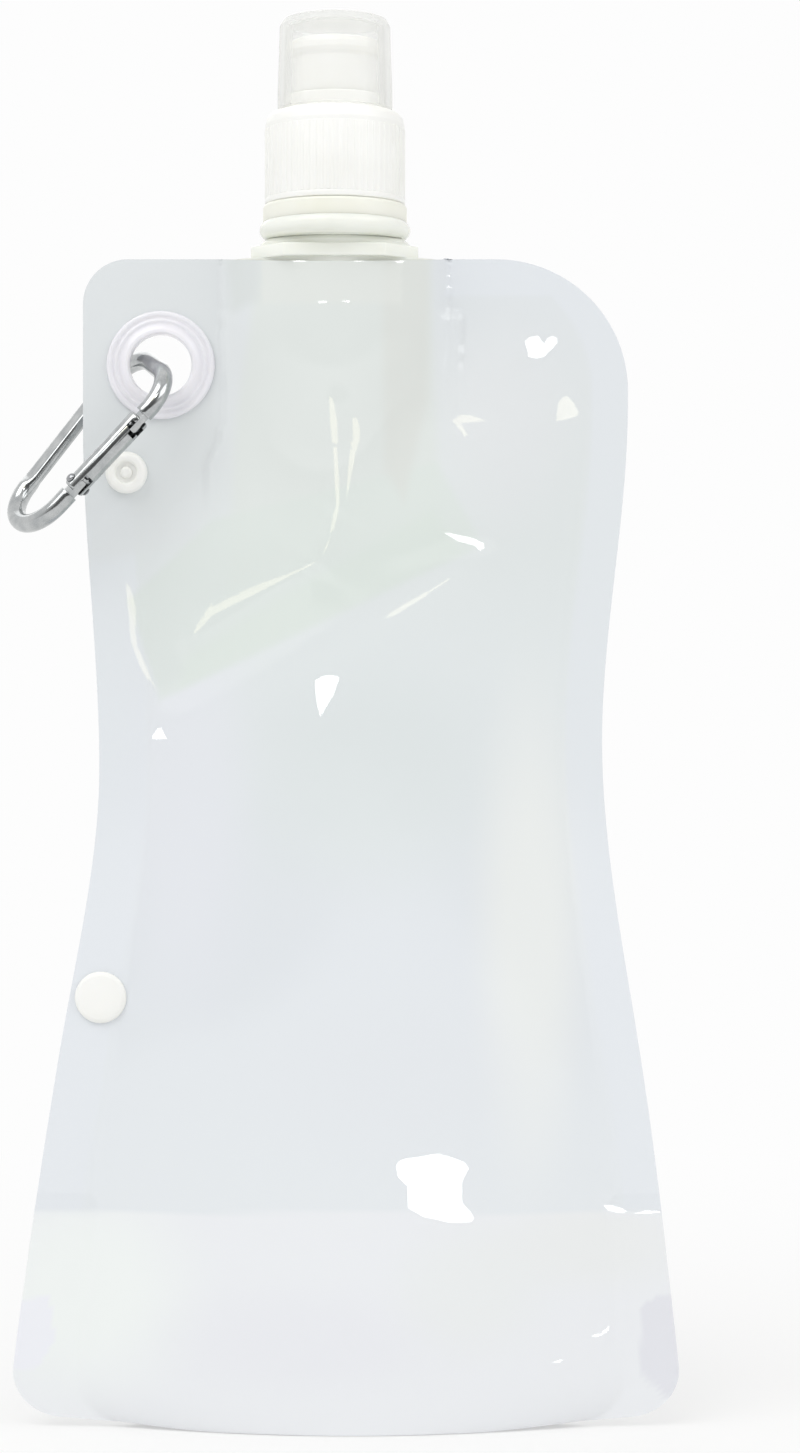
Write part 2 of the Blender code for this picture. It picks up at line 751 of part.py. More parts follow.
def make_snaps(finish):
    seat = seal_depth + fit_gap
    hole = snap_post_radius + fit_gap
    socket_wall = snap_head_radius + 0.0008
    socket_profile = [
        (socket_wall + 0.0004, seat + socket_height), (socket_radius - 0.0009, seat + socket_height),
        (socket_radius - 0.0002, seat + socket_height - 0.0005), (socket_radius, seat + 0.0006),
        (socket_radius - 0.0002, seat), (hole, seat), (hole, seat + 0.0006),
        (socket_wall, seat + 0.0006), (socket_wall, seat + socket_height - 0.0004),
    ]
    socket = turned("snap_socket", socket_profile, finish, steps=20)
    socket.matrix_world = facing(-1, socket_x, socket_z)
    socket_cap = turned("snap_socket_cap", snap_cap_profile(-(seat + 0.0006 + fit_gap)), finish,
                        steps=20, closed=False)
    socket_cap.matrix_world = facing(1, socket_x, socket_z)
    boss_top = seat + stud_boss_height
    stud_profile = [
        (hole, boss_top), (stud_boss_radius - 0.0003, boss_top),
        (stud_boss_radius, boss_top - 0.0006), (stud_boss_radius - 0.0002, seat + 0.0009),
        (stud_radius - 0.0004, seat + 0.0008), (stud_radius, seat + 0.0003),
        (stud_radius, seat), (hole, seat),
    ]
    stud = turned("snap_stud", stud_profile, finish, steps=20)
    stud.matrix_world = facing(1, stud_x, stud_z)
    stud_cap = turned("snap_stud_cap", snap_cap_profile(-(boss_top + fit_gap)), finish,
                      steps=20, closed=False)
    stud_cap.matrix_world = facing(-1, stud_x, stud_z)
    return socket, socket_cap, stud, stud_cap


def carabiner_frame():
    """Local x runs along the carabiner, y across it from spine to gate, z out of its plane."""
    along = Vector((math.cos(carabiner_slope), 0, math.sin(carabiner_slope)))
    flat_across = Vector((math.sin(carabiner_slope), 0, -math.cos(carabiner_slope)))
    across = flat_across * math.cos(carabiner_lean) + Vector((0, -1, 0)) * math.sin(carabiner_lean)
    out = along.cross(across)
    crossing = Vector((eyelet_x + crossing_offset[0], 0, eyelet_z + crossing_offset[1]))
    start = crossing - along * (carabiner_length / 2) - across * crossing_across
    frame = Matrix((along, across, out)).transposed().to_4x4()
    frame.translation = start
    return frame


def rounded_path(corners, radius, steps):
    """Straight runs between the corner points, with each inner corner an arc."""
    points = [Vector(corners[0])]
    for before, corner, after in zip(corners, corners[1:], corners[2:]):
        corner = Vector(corner)
        back = (Vector(before) - corner).normalized()
        on = (Vector(after) - corner).normalized()
        half = back.angle(on) / 2
        centre = corner + (back + on).normalized() * radius / math.sin(half)
        first = corner + back * radius / math.tan(half) - centre
        last = corner + on * radius / math.tan(half) - centre
        turn = first.angle(last)
        for i in range(steps + 1):
            share = i / steps
            swing = first * math.sin((1 - share) * turn) + last * math.sin(share * turn)
            points.append(centre + swing / math.sin(turn))
    points.append(Vector(corners[-1]))
    return points


def wire(name, points, finish, sides=12):
    """Round wire along a flat path. The spine, on the far side, is pressed flat on both faces."""
    bm = bmesh.new()
    rings = []
    for i, point in enumerate(points):
        ahead = points[min(i + 1, len(points) - 1)] - points[max(i - 1, 0)]
        ahead.normalize()
        across = Vector((-ahead.y, ahead.x))
        pressed = point.y < 0 and abs(ahead.x) > 0.9
        ring = []
        for k in range(sides):
            a = math.tau * (k + 0.5) / sides
            side = wire_radius * math.cos(a)
            height = wire_radius * math.sin(a)
            if pressed:
                height = max(-spine_half_thickness, min(spine_half_thickness, height))
            flat = point + across * side
            ring.append(bm.verts.new((flat.x, flat.y, height)))
        rings.append(ring)
    for first, second in zip(rings, rings[1:]):
        for k in range(sides):
            j = (k + 1) % sides
            bm.faces.new((first[k], first[j], second[j], second[k]))
    bm.faces.new(rings[0])
    bm.faces.new(rings[-1])
    return from_bmesh(name, bm, finish)


def make_carabiner(metal, frame):
    half = carabiner_length / 2
    corners = [
        (gate_start - gate_end_gap, gate_line), (-half, gate_line), (-half, spine_near_hinge),
        (half, spine_near_latch), (half, gate_line), (gate_end + gate_end_gap, gate_line),
    ]
    path = rounded_path(corners, carabiner_bend_radius, 8)
    body = wire("carabiner_body", path, metal)
    tongue = tongue_thickness / 2
    near, far = gate_line - tongue_half_width, gate_line + tongue_half_width
    hinge_tongue = block("hinge_tongue", (gate_start - 2 * gate_end_gap, near, -tongue),
                         (rivet_along + tongue_reach, far, tongue), frame)
    nose = block("nose_tongue", (latch_pin_along - tongue_half_width, near, -tongue),
                 (gate_end + 2 * gate_end_gap, far, tongue), frame)
    through = 2 * gate_radius
    rivet_circle = circle(rivet_radius + fit_gap / 2, 12, (rivet_along, gate_line))
    pin_circle = circle(latch_pin_radius + fit_gap / 2, 12, (latch_pin_along, gate_line))
    rivet_hole = prism("rivet_hole", rivet_circle, -through, through)
    pin_hole = prism("latch_pin_hole", pin_circle, -through, through)
    for piece in (rivet_hole, pin_hole, body):
        piece.parent = frame
    for piece in (hinge_tongue, nose):
        boolean(body, piece, "UNION")
    for piece in (rivet_hole, pin_hole):
        boolean(body, piece, "DIFFERENCE")
    pin = prism("latch_pin", circle(latch_pin_radius, 12, (latch_pin_along, gate_line)),
                -latch_pin_length / 2, latch_pin_length / 2, metal)
    pin.parent = frame
    return body, pin


def along_gate(obj, start, hinge):
    """Lays a piece that was made upright along the gate, from a point on the gate's axis."""
    obj.parent = hinge
    obj.matrix_parent_inverse = Matrix.Identity(4)
    obj.matrix_local = Matrix.Translation((start - rivet_along, 0, 0)) @ Matrix.Rotation(math.pi / 2, 4, "Y")


def make_gate(metal, steel, hinge):
    """Tubular gate with a slot at each end, its rivet, and the spring and plunger inside."""
    length = gate_end - gate_start
    gate_profile = [
        (0, length), (gate_radius - 0.0003, length), (gate_radius, length - 0.0003),
        (gate_radius, 0.0003), (gate_radius - 0.0003, 0), (0, 0),
    ]
    gate = turned("carabiner_gate", gate_profile, metal, steps=20, closed=False)
    along_gate(gate, gate_start, hinge)
    bore_end = latch_pin_along - 0.0026
    bore = prism("gate_bore", circle(gate_bore, 16), -0.001, bore_end - gate_start)
    along_gate(bore, gate_start, hinge)
    boolean(gate, bore, "DIFFERENCE")
    slot = gate_slot_width / 2
    pin_slot = latch_pin_length / 2 + fit_gap * 0.8
    pin_start = latch_pin_along - rivet_along
    slots = (
        ("hinge_slot", (gate_start - rivet_along - 0.001, -0.004, -slot), (0.0024, 0.004, slot)),
        ("latch_slot", (pin_start - 0.0018, -0.0013, -slot), (gate_end - rivet_along + 0.001, 0.004, slot)),
        ("latch_notch", (pin_start - 0.0008, -0.0009, -pin_slot), (pin_start + 0.0008, 0.004, pin_slot)),
    )
    for name, low, high in slots:
        boolean(gate, block(name, low, high, hinge), "DIFFERENCE")
    rivet_hole = prism("gate_rivet_hole", circle(rivet_radius + fit_gap / 2, 12), -0.004, 0.004)
    rivet_hole.parent = hinge
    boolean(gate, rivet_hole, "DIFFERENCE")
    return gate, *make_gate_insides(steel, hinge, bore_end)


def make_gate_insides(steel, hinge, bore_end):
    ears = gate_radius + fit_gap
    rivet_profile = [
        (0, ears + 0.0005), (rivet_head_radius * 0.7, ears + 0.0004), (rivet_head_radius, ears),
        (rivet_radius, ears - 0.00005), (rivet_radius, -ears + 0.00005), (rivet_head_radius, -ears),
        (rivet_head_radius * 0.7, -ears - 0.0004), (0, -ears - 0.0005),
    ]
    rivet = turned("gate_rivet", rivet_profile, steel, steps=14, closed=False)
    rivet.parent = hinge
    plunger_start = rivet_along + tongue_reach + plunger_clearance
    plunger_length = 0.0024
    plunger_profile = [
        (0, plunger_length), (plunger_radius, plunger_length), (plunger_radius, 0.0004),
        (plunger_radius * 0.6, 0), (0, 0),
    ]
    plunger = turned("gate_plunger", plunger_profile, steel, steps=14, closed=False)
    along_gate(plunger, plunger_start, hinge)
    spring_start = plunger_start + plunger_length + fit_gap + spring_wire_radius
    spring_length = bore_end - fit_gap - spring_wire_radius - spring_start
    curve = bpy.data.curves.new("gate_spring", "CURVE")
    curve.dimensions = "3D"
    curve.bevel_depth = spring_wire_radius
    curve.bevel_resolution = 1
    curve.use_fill_caps = True
    spline = curve.splines.new("POLY")
    count = spring_turns * 8
    spline.points.add(count)
    for i in range(count + 1):
        a = math.tau * spring_turns * i / count
        spline.points[i].co = (spring_radius * math.cos(a), spring_radius * math.sin(a),
                               spring_length * i / count, 1)
    spring = add_object("gate_spring", curve, steel)
    along_gate(spring, spring_start, hinge)
    turn_gap = spring_length / spring_turns - 2 * spring_wire_radius
    print(f"gate spring: {turn_gap * 1000:.2f} mm between turns")
    return rivet, plunger, spring


def build():
    clear_scene()
    film = material("milky_film", (0.80, 0.83, 0.85), 0.18, alpha=0.55)
    frosted = material("frosted_plastic", (0.86, 0.86, 0.84), 0.30, alpha=0.75)
    white = material("white_plastic", (0.93, 0.93, 0.91), 0.35)
    clear = material("clear_cap_plastic", (0.88, 0.88, 0.87), 0.20, alpha=0.55)
    foam = material("liner_foam", (0.90, 0.90, 0.88), 0.80)
    ring = material("eyelet_plastic", (0.86, 0.85, 0.88), 0.25, alpha=0.85)
    metal = material("polished_aluminium", (0.80, 0.81, 0.82), 0.20, metallic=1.0)
    steel = material("spring_steel", (0.62, 0.62, 0.63), 0.30, metallic=1.0)

    spout_axis = empty("spout_axis", Matrix.Translation((spout_x, 0, 0)))
    make_films(film)
    make_gusset(film)
    make_spout(frosted, spout_axis)
    make_tamper_band(frosted, spout_axis)
    make_liner(foam, spout_axis)
    make_closure(white, spout_axis)
    make_nozzle(white, spout_axis)
    make_dust_cap(clear, spout_axis)
    make_eyelet(ring)
    make_snaps(white)
    loop = empty("carabiner_frame", carabiner_frame())
    make_carabiner(metal, loop)
    hinge_place = carabiner_frame() @ Matrix.Translation((rivet_along, gate_line, 0))
    gate_hinge = empty("gate_hinge", hinge_place, loop)
    make_gate(metal, steel, gate_hinge)


build()
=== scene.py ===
# %% [markdown]
# A folding water bottle: a pouch of milky film with a spout, a screw closure with a pull-up nozzle,
# an eyelet with a small carabiner, and a press snap that holds the pouch rolled up. The frame holds
# the rigid solids at their real size. This lesson dresses them: it replaces the plain solids with
# finely made pieces and gives each surface the material that the real one has.

# %% Load the frame and keep its box
import math

import bpy
import numpy as np
from mathutils import Matrix, Vector


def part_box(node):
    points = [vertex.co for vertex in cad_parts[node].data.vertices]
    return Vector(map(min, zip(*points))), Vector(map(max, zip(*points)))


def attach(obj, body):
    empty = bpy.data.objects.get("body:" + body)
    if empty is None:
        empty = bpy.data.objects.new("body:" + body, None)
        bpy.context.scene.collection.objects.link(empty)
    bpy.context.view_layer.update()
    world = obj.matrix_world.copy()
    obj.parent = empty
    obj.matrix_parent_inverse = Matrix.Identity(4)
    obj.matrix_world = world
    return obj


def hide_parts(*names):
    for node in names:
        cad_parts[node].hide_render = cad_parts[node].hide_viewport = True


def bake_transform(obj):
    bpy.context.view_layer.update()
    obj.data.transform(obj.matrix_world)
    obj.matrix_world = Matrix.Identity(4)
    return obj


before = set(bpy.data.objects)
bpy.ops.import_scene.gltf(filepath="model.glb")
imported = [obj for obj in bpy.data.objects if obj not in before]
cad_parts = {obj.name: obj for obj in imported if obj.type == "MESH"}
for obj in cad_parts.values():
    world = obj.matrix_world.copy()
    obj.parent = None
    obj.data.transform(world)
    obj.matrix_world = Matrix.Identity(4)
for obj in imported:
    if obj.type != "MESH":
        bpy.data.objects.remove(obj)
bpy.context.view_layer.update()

# %% [markdown]
# The photograph is 800 by 1453 pixels, taken square on to the front. One pixel is 0.19 mm in the
# plane of the pouch. These few values turn a place in the photograph into a place on the bottle.

# %% Photograph to bottle
mm = 0.001
photo_width, photo_height = 800, 1453
photo_pixel = 0.19 * mm
photo_middle_x = 341       # pixel column of the bottle's middle
photo_ground_y = 1425      # pixel row of the foot
camera_distance = 0.645


def at_pixel(column, row):
    """The place in the pouch's plane that a pixel of the photograph shows, as (x, z)."""
    return (column - photo_middle_x) * photo_pixel, (photo_ground_y - row) * photo_pixel


view_x, view_z = at_pixel(photo_width / 2, photo_height / 2)


def seen_at(x, y, z):
    """The pixel of the photograph, as (column, row), that shows a place on the bottle."""
    nearer = camera_distance / (camera_distance + y)
    return ((view_x + (x - view_x) * nearer) / photo_pixel + photo_middle_x,
            photo_ground_y - (view_z + (z - view_z) * nearer) / photo_pixel)


print(f"camera looks at x {view_x / mm:.1f} mm, z {view_z / mm:.1f} mm")

# %% [markdown]
# Small helpers come first. Operators act on whatever is selected, so every piece starts from an
# empty selection, and every finished piece has its place in its mesh. Elements are picked by a
# rule. All are deselected in edit mode before that, because a point that is only deselected in
# object mode stays selected through the edges that meet there.

# %% Selecting and finishing
def nothing_selected():
    if bpy.context.object and bpy.context.object.mode != "OBJECT":
        bpy.ops.object.mode_set(mode="OBJECT")
    bpy.ops.object.select_all(action="DESELECT")


def only(piece):
    nothing_selected()
    piece.select_set(True)
    bpy.context.view_layer.objects.active = piece


def named(name):
    """The object that an operator has just made, under its own name."""
    piece = bpy.context.object
    piece.name = name
    piece.data.name = name
    return piece


def edit(piece, kind="VERT"):
    only(piece)
    bpy.ops.object.mode_set(mode="EDIT")
    bpy.ops.mesh.select_mode(type=kind)
    bpy.ops.mesh.select_all(action="SELECT")


def edit_where(piece, kind, rule):
    """Edit mode, with just the vertices, edges or faces selected that the rule picks."""
    edit(piece, kind)
    bpy.ops.mesh.select_all(action="DESELECT")
    bpy.ops.object.mode_set(mode="OBJECT")
    mesh = piece.data
    for element in {"VERT": mesh.vertices, "EDGE": mesh.edges, "FACE": mesh.polygons}[kind]:
        element.select = rule(element)
    bpy.ops.object.mode_set(mode="EDIT")


def place_in_mesh(piece):
    only(piece)
    bpy.ops.object.transform_apply(location=True, rotation=True, scale=True)


def finish_piece(piece, angle=35):
    """Place applied, smooth with crisp edges above an angle, and its triangles counted."""
    place_in_mesh(piece)
    bpy.ops.object.shade_smooth_by_angle(angle=math.radians(angle))
    piece.data.calc_loop_triangles()
    print(f"{piece.name}: {len(piece.data.loop_triangles)} triangles")
    return piece


def tidy_mesh(piece):
    """Doubles merged and all faces turned outwards."""
    edit(piece)
    bpy.ops.mesh.remove_doubles(threshold=0.005 * mm)
    bpy.ops.mesh.normals_make_consistent(inside=False)
    bpy.ops.object.mode_set(mode="OBJECT")


def apply_modifier(piece, kind, **settings):
    only(piece)
    modifier = piece.modifiers.new(kind, kind)
    for setting, value in settings.items():
        setattr(modifier, setting, value)
    bpy.ops.object.modifier_apply(modifier=modifier.name)


def crisp_bevel(piece, width, angle, segments=2):
    """Rounds the edges that are sharper than an angle. The width is in mm."""
    apply_modifier(piece, "BEVEL", width=width * mm, segments=segments, limit_method="ANGLE",
                   angle_limit=math.radians(angle))


def join(name, pieces):
    nothing_selected()
    for piece in pieces:
        piece.select_set(True)
    bpy.context.view_layer.objects.active = pieces[0]
    bpy.ops.object.join()
    return named(name)


# %% [markdown]
# Round mouldings are all made the same way, as on a lathe. One point is extruded along the
# profile, the corners are rounded with a vertex bevel while the profile is still flat, and the
# profile is spun round the upright axis. Rings of a cylinder could be moved one by one, but a
# profile keeps every radius and height in one short list. Profiles are given in millimetres.

# %% Turned profiles and boxes
def turn(name, profile, steps, rounding, segments=3, closed=True):
    """Spins (radius, height) points round Z. A profile that isn't closed ends on the axis."""
    nothing_selected()
    bpy.ops.mesh.primitive_plane_add(size=mm, location=(0, 0, 0))
    piece = named(name)
    edit(piece)
    bpy.ops.mesh.merge(type="CENTER")
    points = [(radius * mm, height * mm) for radius, height in profile]
    bpy.ops.transform.translate(value=(points[0][0], 0, points[0][1]))
    for before, after in zip(points, points[1:]):
        step = (after[0] - before[0], 0, after[1] - before[1])
        bpy.ops.mesh.extrude_region_move(TRANSFORM_OT_translate={"value": step})
    if closed:
        edit_where(piece, "VERT", lambda vert: vert.index in (0, len(profile) - 1))
        bpy.ops.mesh.edge_face_add()
    edit(piece)
    bpy.ops.mesh.bevel(offset=rounding * mm, segments=segments, affect="VERTICES", clamp_overlap=True)
    bpy.ops.mesh.select_all(action="SELECT")
    bpy.ops.mesh.spin(steps=steps, angle=math.tau, center=(0, 0, 0), axis=(0, 0, 1))
    tidy_mesh(piece)
    return piece


def box_between(name, low, high):
    nothing_selected()
    middle = [(a + b) / 2 * mm for a, b in zip(low, high)]
    bpy.ops.mesh.primitive_cube_add(size=1, location=middle)
    piece = named(name)
    piece.dimensions = [(b - a) * mm for a, b in zip(low, high)]
    place_in_mesh(piece)
    return piece


def move(piece, x, y=0):
    only(piece)
    bpy.ops.transform.translate(value=(x, y, 0))
    place_in_mesh(piece)


# %% [markdown]
# The pouch's outline is the same as the frame's: a foot, a thigh, a waist and a shoulder on each
# side, joined by smooth curves, with a small round corner over the eyelet and a wide one opposite.
# It could be drawn as a curve by hand. Four stations a side say the same in few numbers.

# %% Outline of the pouch
pouch_height = 221.5 * mm
bottom_corner = 9.5 * mm
top_left_corner = 8.5 * mm
top_right_corner = 25.0 * mm
# Height, place across and slope
left_stations = ((0, -63.1 * mm, 0.090), (70 * mm, -53.6 * mm, 0.165),
                 (125 * mm, -45.9 * mm, 0.0), (190 * mm, -49.0 * mm, 0.0))
right_stations = ((0, 65.0 * mm, -0.090), (70 * mm, 56.9 * mm, -0.155),
                  (130 * mm, 49.6 * mm, 0.0), (194 * mm, 54.5 * mm, 0.0))


def smooth_step(t):
    t = min(1.0, max(0.0, t))
    return t * t * (3 - 2 * t)


def through(stations, height):
    """Cubic curve through (height, value, slope) stations, flat past both ends."""
    if height <= stations[0][0]:
        return stations[0][1]
    for low, high in zip(stations, stations[1:]):
        if height <= high[0]:
            span = high[0] - low[0]
            t = (height - low[0]) / span
            blend = smooth_step(t)
            bend = low[2] * (t**3 - 2 * t * t + t) + high[2] * (t**3 - t * t)
            return low[1] * (1 - blend) + high[1] * blend + span * bend
    return stations[-1][1]


def corner_inset(height, corner_height, radius):
    past = min(radius, max(0.0, height - (corner_height - radius)))
    return radius - math.sqrt(radius * radius - past * past)


def left_edge(z):
    inset = corner_inset(z, pouch_height, top_left_corner) + corner_inset(-z, 0.0, bottom_corner)
    return through(left_stations, z) + inset


def right_edge(z):
    inset = corner_inset(z, pouch_height, top_right_corner) + corner_inset(-z, 0.0, bottom_corner)
    return through(right_stations, z) - inset


print(f"pouch is {(right_edge(0.02) - left_edge(0.02)) / mm:.1f} mm wide near its foot")

# %% [markdown]
# The film stands off the pouch's middle plane: flat and thin where it is welded, bulged like a
# pillow between the welds, and drawn over the boat-shaped foot of the spout at the top. The same
# rule shapes the front, the back and the folded film in the bottom. Cloth with pressure would
# swell too, but a rule keeps all three films exactly one on another at their welds.

# %% Places from the frame
def middle_of(node):
    low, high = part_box(node)
    return (low + high) / 2


spout_low, spout_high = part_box("spout")
spout_x = middle_of("dust_cap").x
eyelet_middle = middle_of("eyelet_front")
socket_middle = middle_of("snap_socket")
stud_middle = middle_of("snap_stud_cap")
boat_half_length = (spout_high.x - spout_low.x) / 2
boat_half_depth = 9.6 * mm
boat_height = 10.8 * mm
boat_foot = pouch_height - boat_height
print(f"spout at x {spout_x / mm:.1f} mm, eyelet at x {eyelet_middle.x / mm:.1f} mm")

# %% Welds, and the cover of the spout's foot
film_thickness = 0.26 * mm
weld_face = film_thickness + 0.03 * mm      # outer face where two films are welded
left_weld_width = 10.0 * mm
right_weld_width = 8.0 * mm


def left_weld(z):
    """The left weld's inner border, which widens round the socket and the eyelet."""
    plain = left_edge(z) + left_weld_width
    corner = spout_x - boat_half_length - 1.0 * mm
    beside_socket = socket_middle.z - 20.8 * mm
    beside_eyelet = eyelet_middle.z - 10.3 * mm
    return plain + (corner - plain) * smooth_step((z - beside_socket) / (beside_eyelet - beside_socket))


def right_weld(z):
    return right_edge(z) - right_weld_width


def boat_cover(x, margin=1.0 * mm):
    """Depth of the film over the boat-shaped foot: an arc, flat in the middle by the margin."""
    reach = max(0.0, abs(x - spout_x) - margin)
    if reach >= boat_half_length:
        return 0.0
    arc = (boat_half_length**2 + boat_half_depth**2) / (2 * boat_half_depth)
    return math.sqrt(arc * arc - reach * reach) - (arc - boat_half_depth)


def soft_max(a, b, reach=3.6 * mm):
    """The larger of two heights, with a rounded change from one to the other."""
    overlap = max(0.0, reach - abs(a - b)) / reach
    return max(a, b) + overlap * overlap * reach / 4


# %% How far the film stands off the middle plane
gusset_height = 40.3 * mm
body_fade = 46.5 * mm       # the pillow grows to its full depth over this height under the mouth
cone_height = 75 * mm       # the cone under the spout's foot dies away downwards over this one
cone_start = 22 * mm        # the film leaves the foot's own form over this one
pillow_power, cone_power = 1.15, 1.7     # over 1, so that both run out softly at their borders
depth_stations = ((0, 9.55 * mm, 0.0), (110 * mm, 7.55 * mm, 0.0), (180 * mm, 7.35 * mm, 0.0))


def film_face(x, z):
    low, high = left_weld(z), right_weld(z)
    across = min(1.0, max(-1.0, 2 * (x - low) / (high - low) - 1))
    pillow = (1 - across * across) ** pillow_power
    body = through(depth_stations, z) * pillow * smooth_step((pouch_height - 10 * mm - z) / body_fade)
    slack = smooth_step((boat_foot + 2 * mm - z) / cone_start)
    swell = boat_half_depth * max(0.0, 1 - ((x - spout_x) / (boat_half_length + 3.5 * mm)) ** 2) ** cone_power
    channel = (boat_cover(x) + 0.1 * mm) if boat_cover(x) > 0 else 0.0
    channel = (channel * (1 - slack) + swell * slack) * (1 - smooth_step((boat_foot - z) / cone_height))
    bulge = soft_max(body, channel) if min(body, channel) > 0 else max(body, channel)
    layers = 2 * film_thickness * (1 - smooth_step((z - gusset_height) / (4 * mm)))
    return weld_face + max(layers, bulge)


# %% Foot and mouth of the pouch
foot_flat = 25.0 * mm       # half length of the foot's flat middle, which stands on the table
foot_middle = 1.0 * mm
foot_rise = 2.7 * mm
mouth_dip = 1.2             # over 1, so that the mouth looks a little lower than level


def foot_lift(x, z):
    past = max(0.0, abs(x - foot_middle) - foot_flat)
    reach = right_stations[0][1] - foot_middle - foot_flat
    return foot_rise * min(1.0, past / reach) ** 1.5 * max(0.0, 1 - z / (30 * mm))


def top_dip(x, z):
    """How far the film is drawn down at its top edge, where it goes out over the spout's foot."""
    near_mouth = smooth_step((z - 200 * mm) / (15 * mm))
    return film_face(x, z) / camera_distance * (z - view_z) * mouth_dip * near_mouth


belly, weld = film_face(0, 0.11) / mm, film_face(-0.05, 0.2) / mm
print(f"film face {belly:.1f} mm out at the belly and {weld:.2f} mm at the weld")

# %% [markdown]
# Film this stiff doesn't wrinkle like cloth. It stays smooth and breaks into flat facets with
# sharp creases between them. The swells and the creases are in the mesh. The small facets are
# far finer than its grid, so they come with the film's material. The front's swells and creases
# are placed by pixels of the photograph, the back's by millimetres.

# %% Swells and creases
# Start pixel, end pixel, height in mm (minus is a valley), half width in mm
front_creases = (
    ((339, 400), (339, 515), 0.35, 2.4), ((339, 515), (308, 568), 0.40, 2.6),
    ((308, 568), (187, 642), 0.45, 3.2), ((160, 728), (300, 655), -0.35, 5.0),
    ((300, 655), (470, 548), -0.40, 5.0), ((470, 548), (445, 430), 0.30, 6.0),
    ((122, 580), (160, 700), 0.35, 3.0), ((445, 430), (540, 345), 0.25, 7.0),
    ((540, 345), (600, 420), -0.25, 8.0), ((612, 1212), (662, 1213), 0.20, 1.2),
)
# Middle pixel, half width and half height in mm, height in mm
front_swells = (
    ((300, 470), 26, 32, 0.5), ((520, 480), 22, 26, -0.4), ((180, 560), 16, 22, -0.35),
    ((430, 700), 30, 20, 0.35), ((240, 800), 24, 34, -0.3), ((480, 900), 26, 36, 0.35),
    ((220, 1020), 28, 26, 0.3), ((400, 1080), 26, 22, -0.35), ((560, 1100), 20, 26, 0.3),
    ((150, 1180), 18, 22, -0.25), ((330, 1300), 40, 12, 0.25),
)
back_creases = (
    ((-4, 196), (-3, 168), 0.35, 3.0), ((-3, 168), (22, 146), 0.45, 3.5),
    ((22, 146), (36, 118), 0.30, 4.5), ((-20, 186), (-34, 160), -0.30, 5.0),
    ((-30, 120), (-8, 104), 0.25, 5.0), ((12, 60), (34, 48), 0.25, 4.0),
)
back_swells = (
    ((-22, 165), 20, 30, 0.5), ((18, 150), 18, 26, -0.4), ((-14, 96), 26, 24, 0.35),
    ((20, 70), 22, 30, 0.4), ((-26, 50), 18, 20, -0.35), ((4, 30), 30, 14, 0.3),
)
crease_fade = 0.12          # share of a crease's length over which it dies away past its ends


def along_line(x, z, start, end):
    """Place of a point beside a line: share of the way along, and signed distance from it."""
    run = Vector((end[0] - start[0], end[1] - start[1]))
    offset = Vector((x - start[0], z - start[1]))
    share = offset.dot(run) / run.length_squared
    return share, (run.x * offset.y - run.y * offset.x) / run.length


def pixel_in_mm(pixel):
    return [value / mm for value in at_pixel(*pixel)]


def film_with(swells, creases, place=tuple):
    """The film's face with swells and creases, which die away near the welds, mouth and foot."""
    swells = [(place(middle), *rest) for middle, *rest in swells]
    creases = [(place(start), place(end), *rest) for start, end, *rest in creases]

    def face_at(x, z):
        height = 0.0
        for middle, half_width, half_height, rise in swells:
            reach = ((x / mm - middle[0]) / half_width) ** 2 + ((z / mm - middle[1]) / half_height) ** 2
            height += rise * mm * math.exp(-reach)
        for start, end, rise, half_width in creases:
            share, off = along_line(x / mm, z / mm, start, end)
            first = smooth_step((share + crease_fade) / (2 * crease_fade))
            last = smooth_step((1 + crease_fade - share) / (2 * crease_fade))
            height += rise * mm * first * last / (1 + (off / half_width) ** 2)
        inside = smooth_step(min(x - left_weld(z), right_weld(z) - x) / (8 * mm))
        below_top = smooth_step((pouch_height - 12 * mm - z) / (10 * mm))
        return film_face(x, z) + height * inside * below_top * smooth_step((z - 6 * mm) / (10 * mm))

    return face_at


# %% [markdown]
# Each film is a grid laid on the pouch's outline and pushed out to its face, with its rows close
# together where the detail and the round corners are. A hole is cut for the eyelet, and Solidify
# gives the film its thickness. The back is coarser, as nothing on it is as fine as the front's
# creases.

# %% Film panels
hole_radius = 7.0 * mm
arc_rows = 34


def corner_rows(count):
    """Heights up the round corner at the foot, evenly spaced along its arc."""
    return [bottom_corner * (1 - math.cos(math.pi / 2 * i / count)) for i in range(count)]


def film_rows(coarse, fine):
    rows = corner_rows(14)
    z = bottom_corner
    top_arc = pouch_height - top_right_corner
    while z < top_arc - fine:
        rows.append(z)
        z += fine if z > 120 * mm else coarse
    quarter = math.pi / 2 / arc_rows
    return rows + [top_arc + top_right_corner * math.sin(quarter * i) for i in range(arc_rows + 1)]


def cut_round_hole(piece, x, z, radius):
    """Takes the faces out of a hole and draws the border in to a clean circle."""
    edit_where(piece, "FACE", lambda face: math.hypot(face.center.x - x, face.center.z - z) < radius)
    bpy.ops.mesh.delete(type="FACE")
    bpy.ops.object.mode_set(mode="OBJECT")
    for vert in piece.data.vertices:
        reach = math.hypot(vert.co.x - x, vert.co.z - z)
        if reach < radius + 0.5 * mm:
            stretch = radius / max(reach, 0.1 * mm)
            vert.co.x = x + (vert.co.x - x) * stretch
            vert.co.z = z + (vert.co.z - z) * stretch


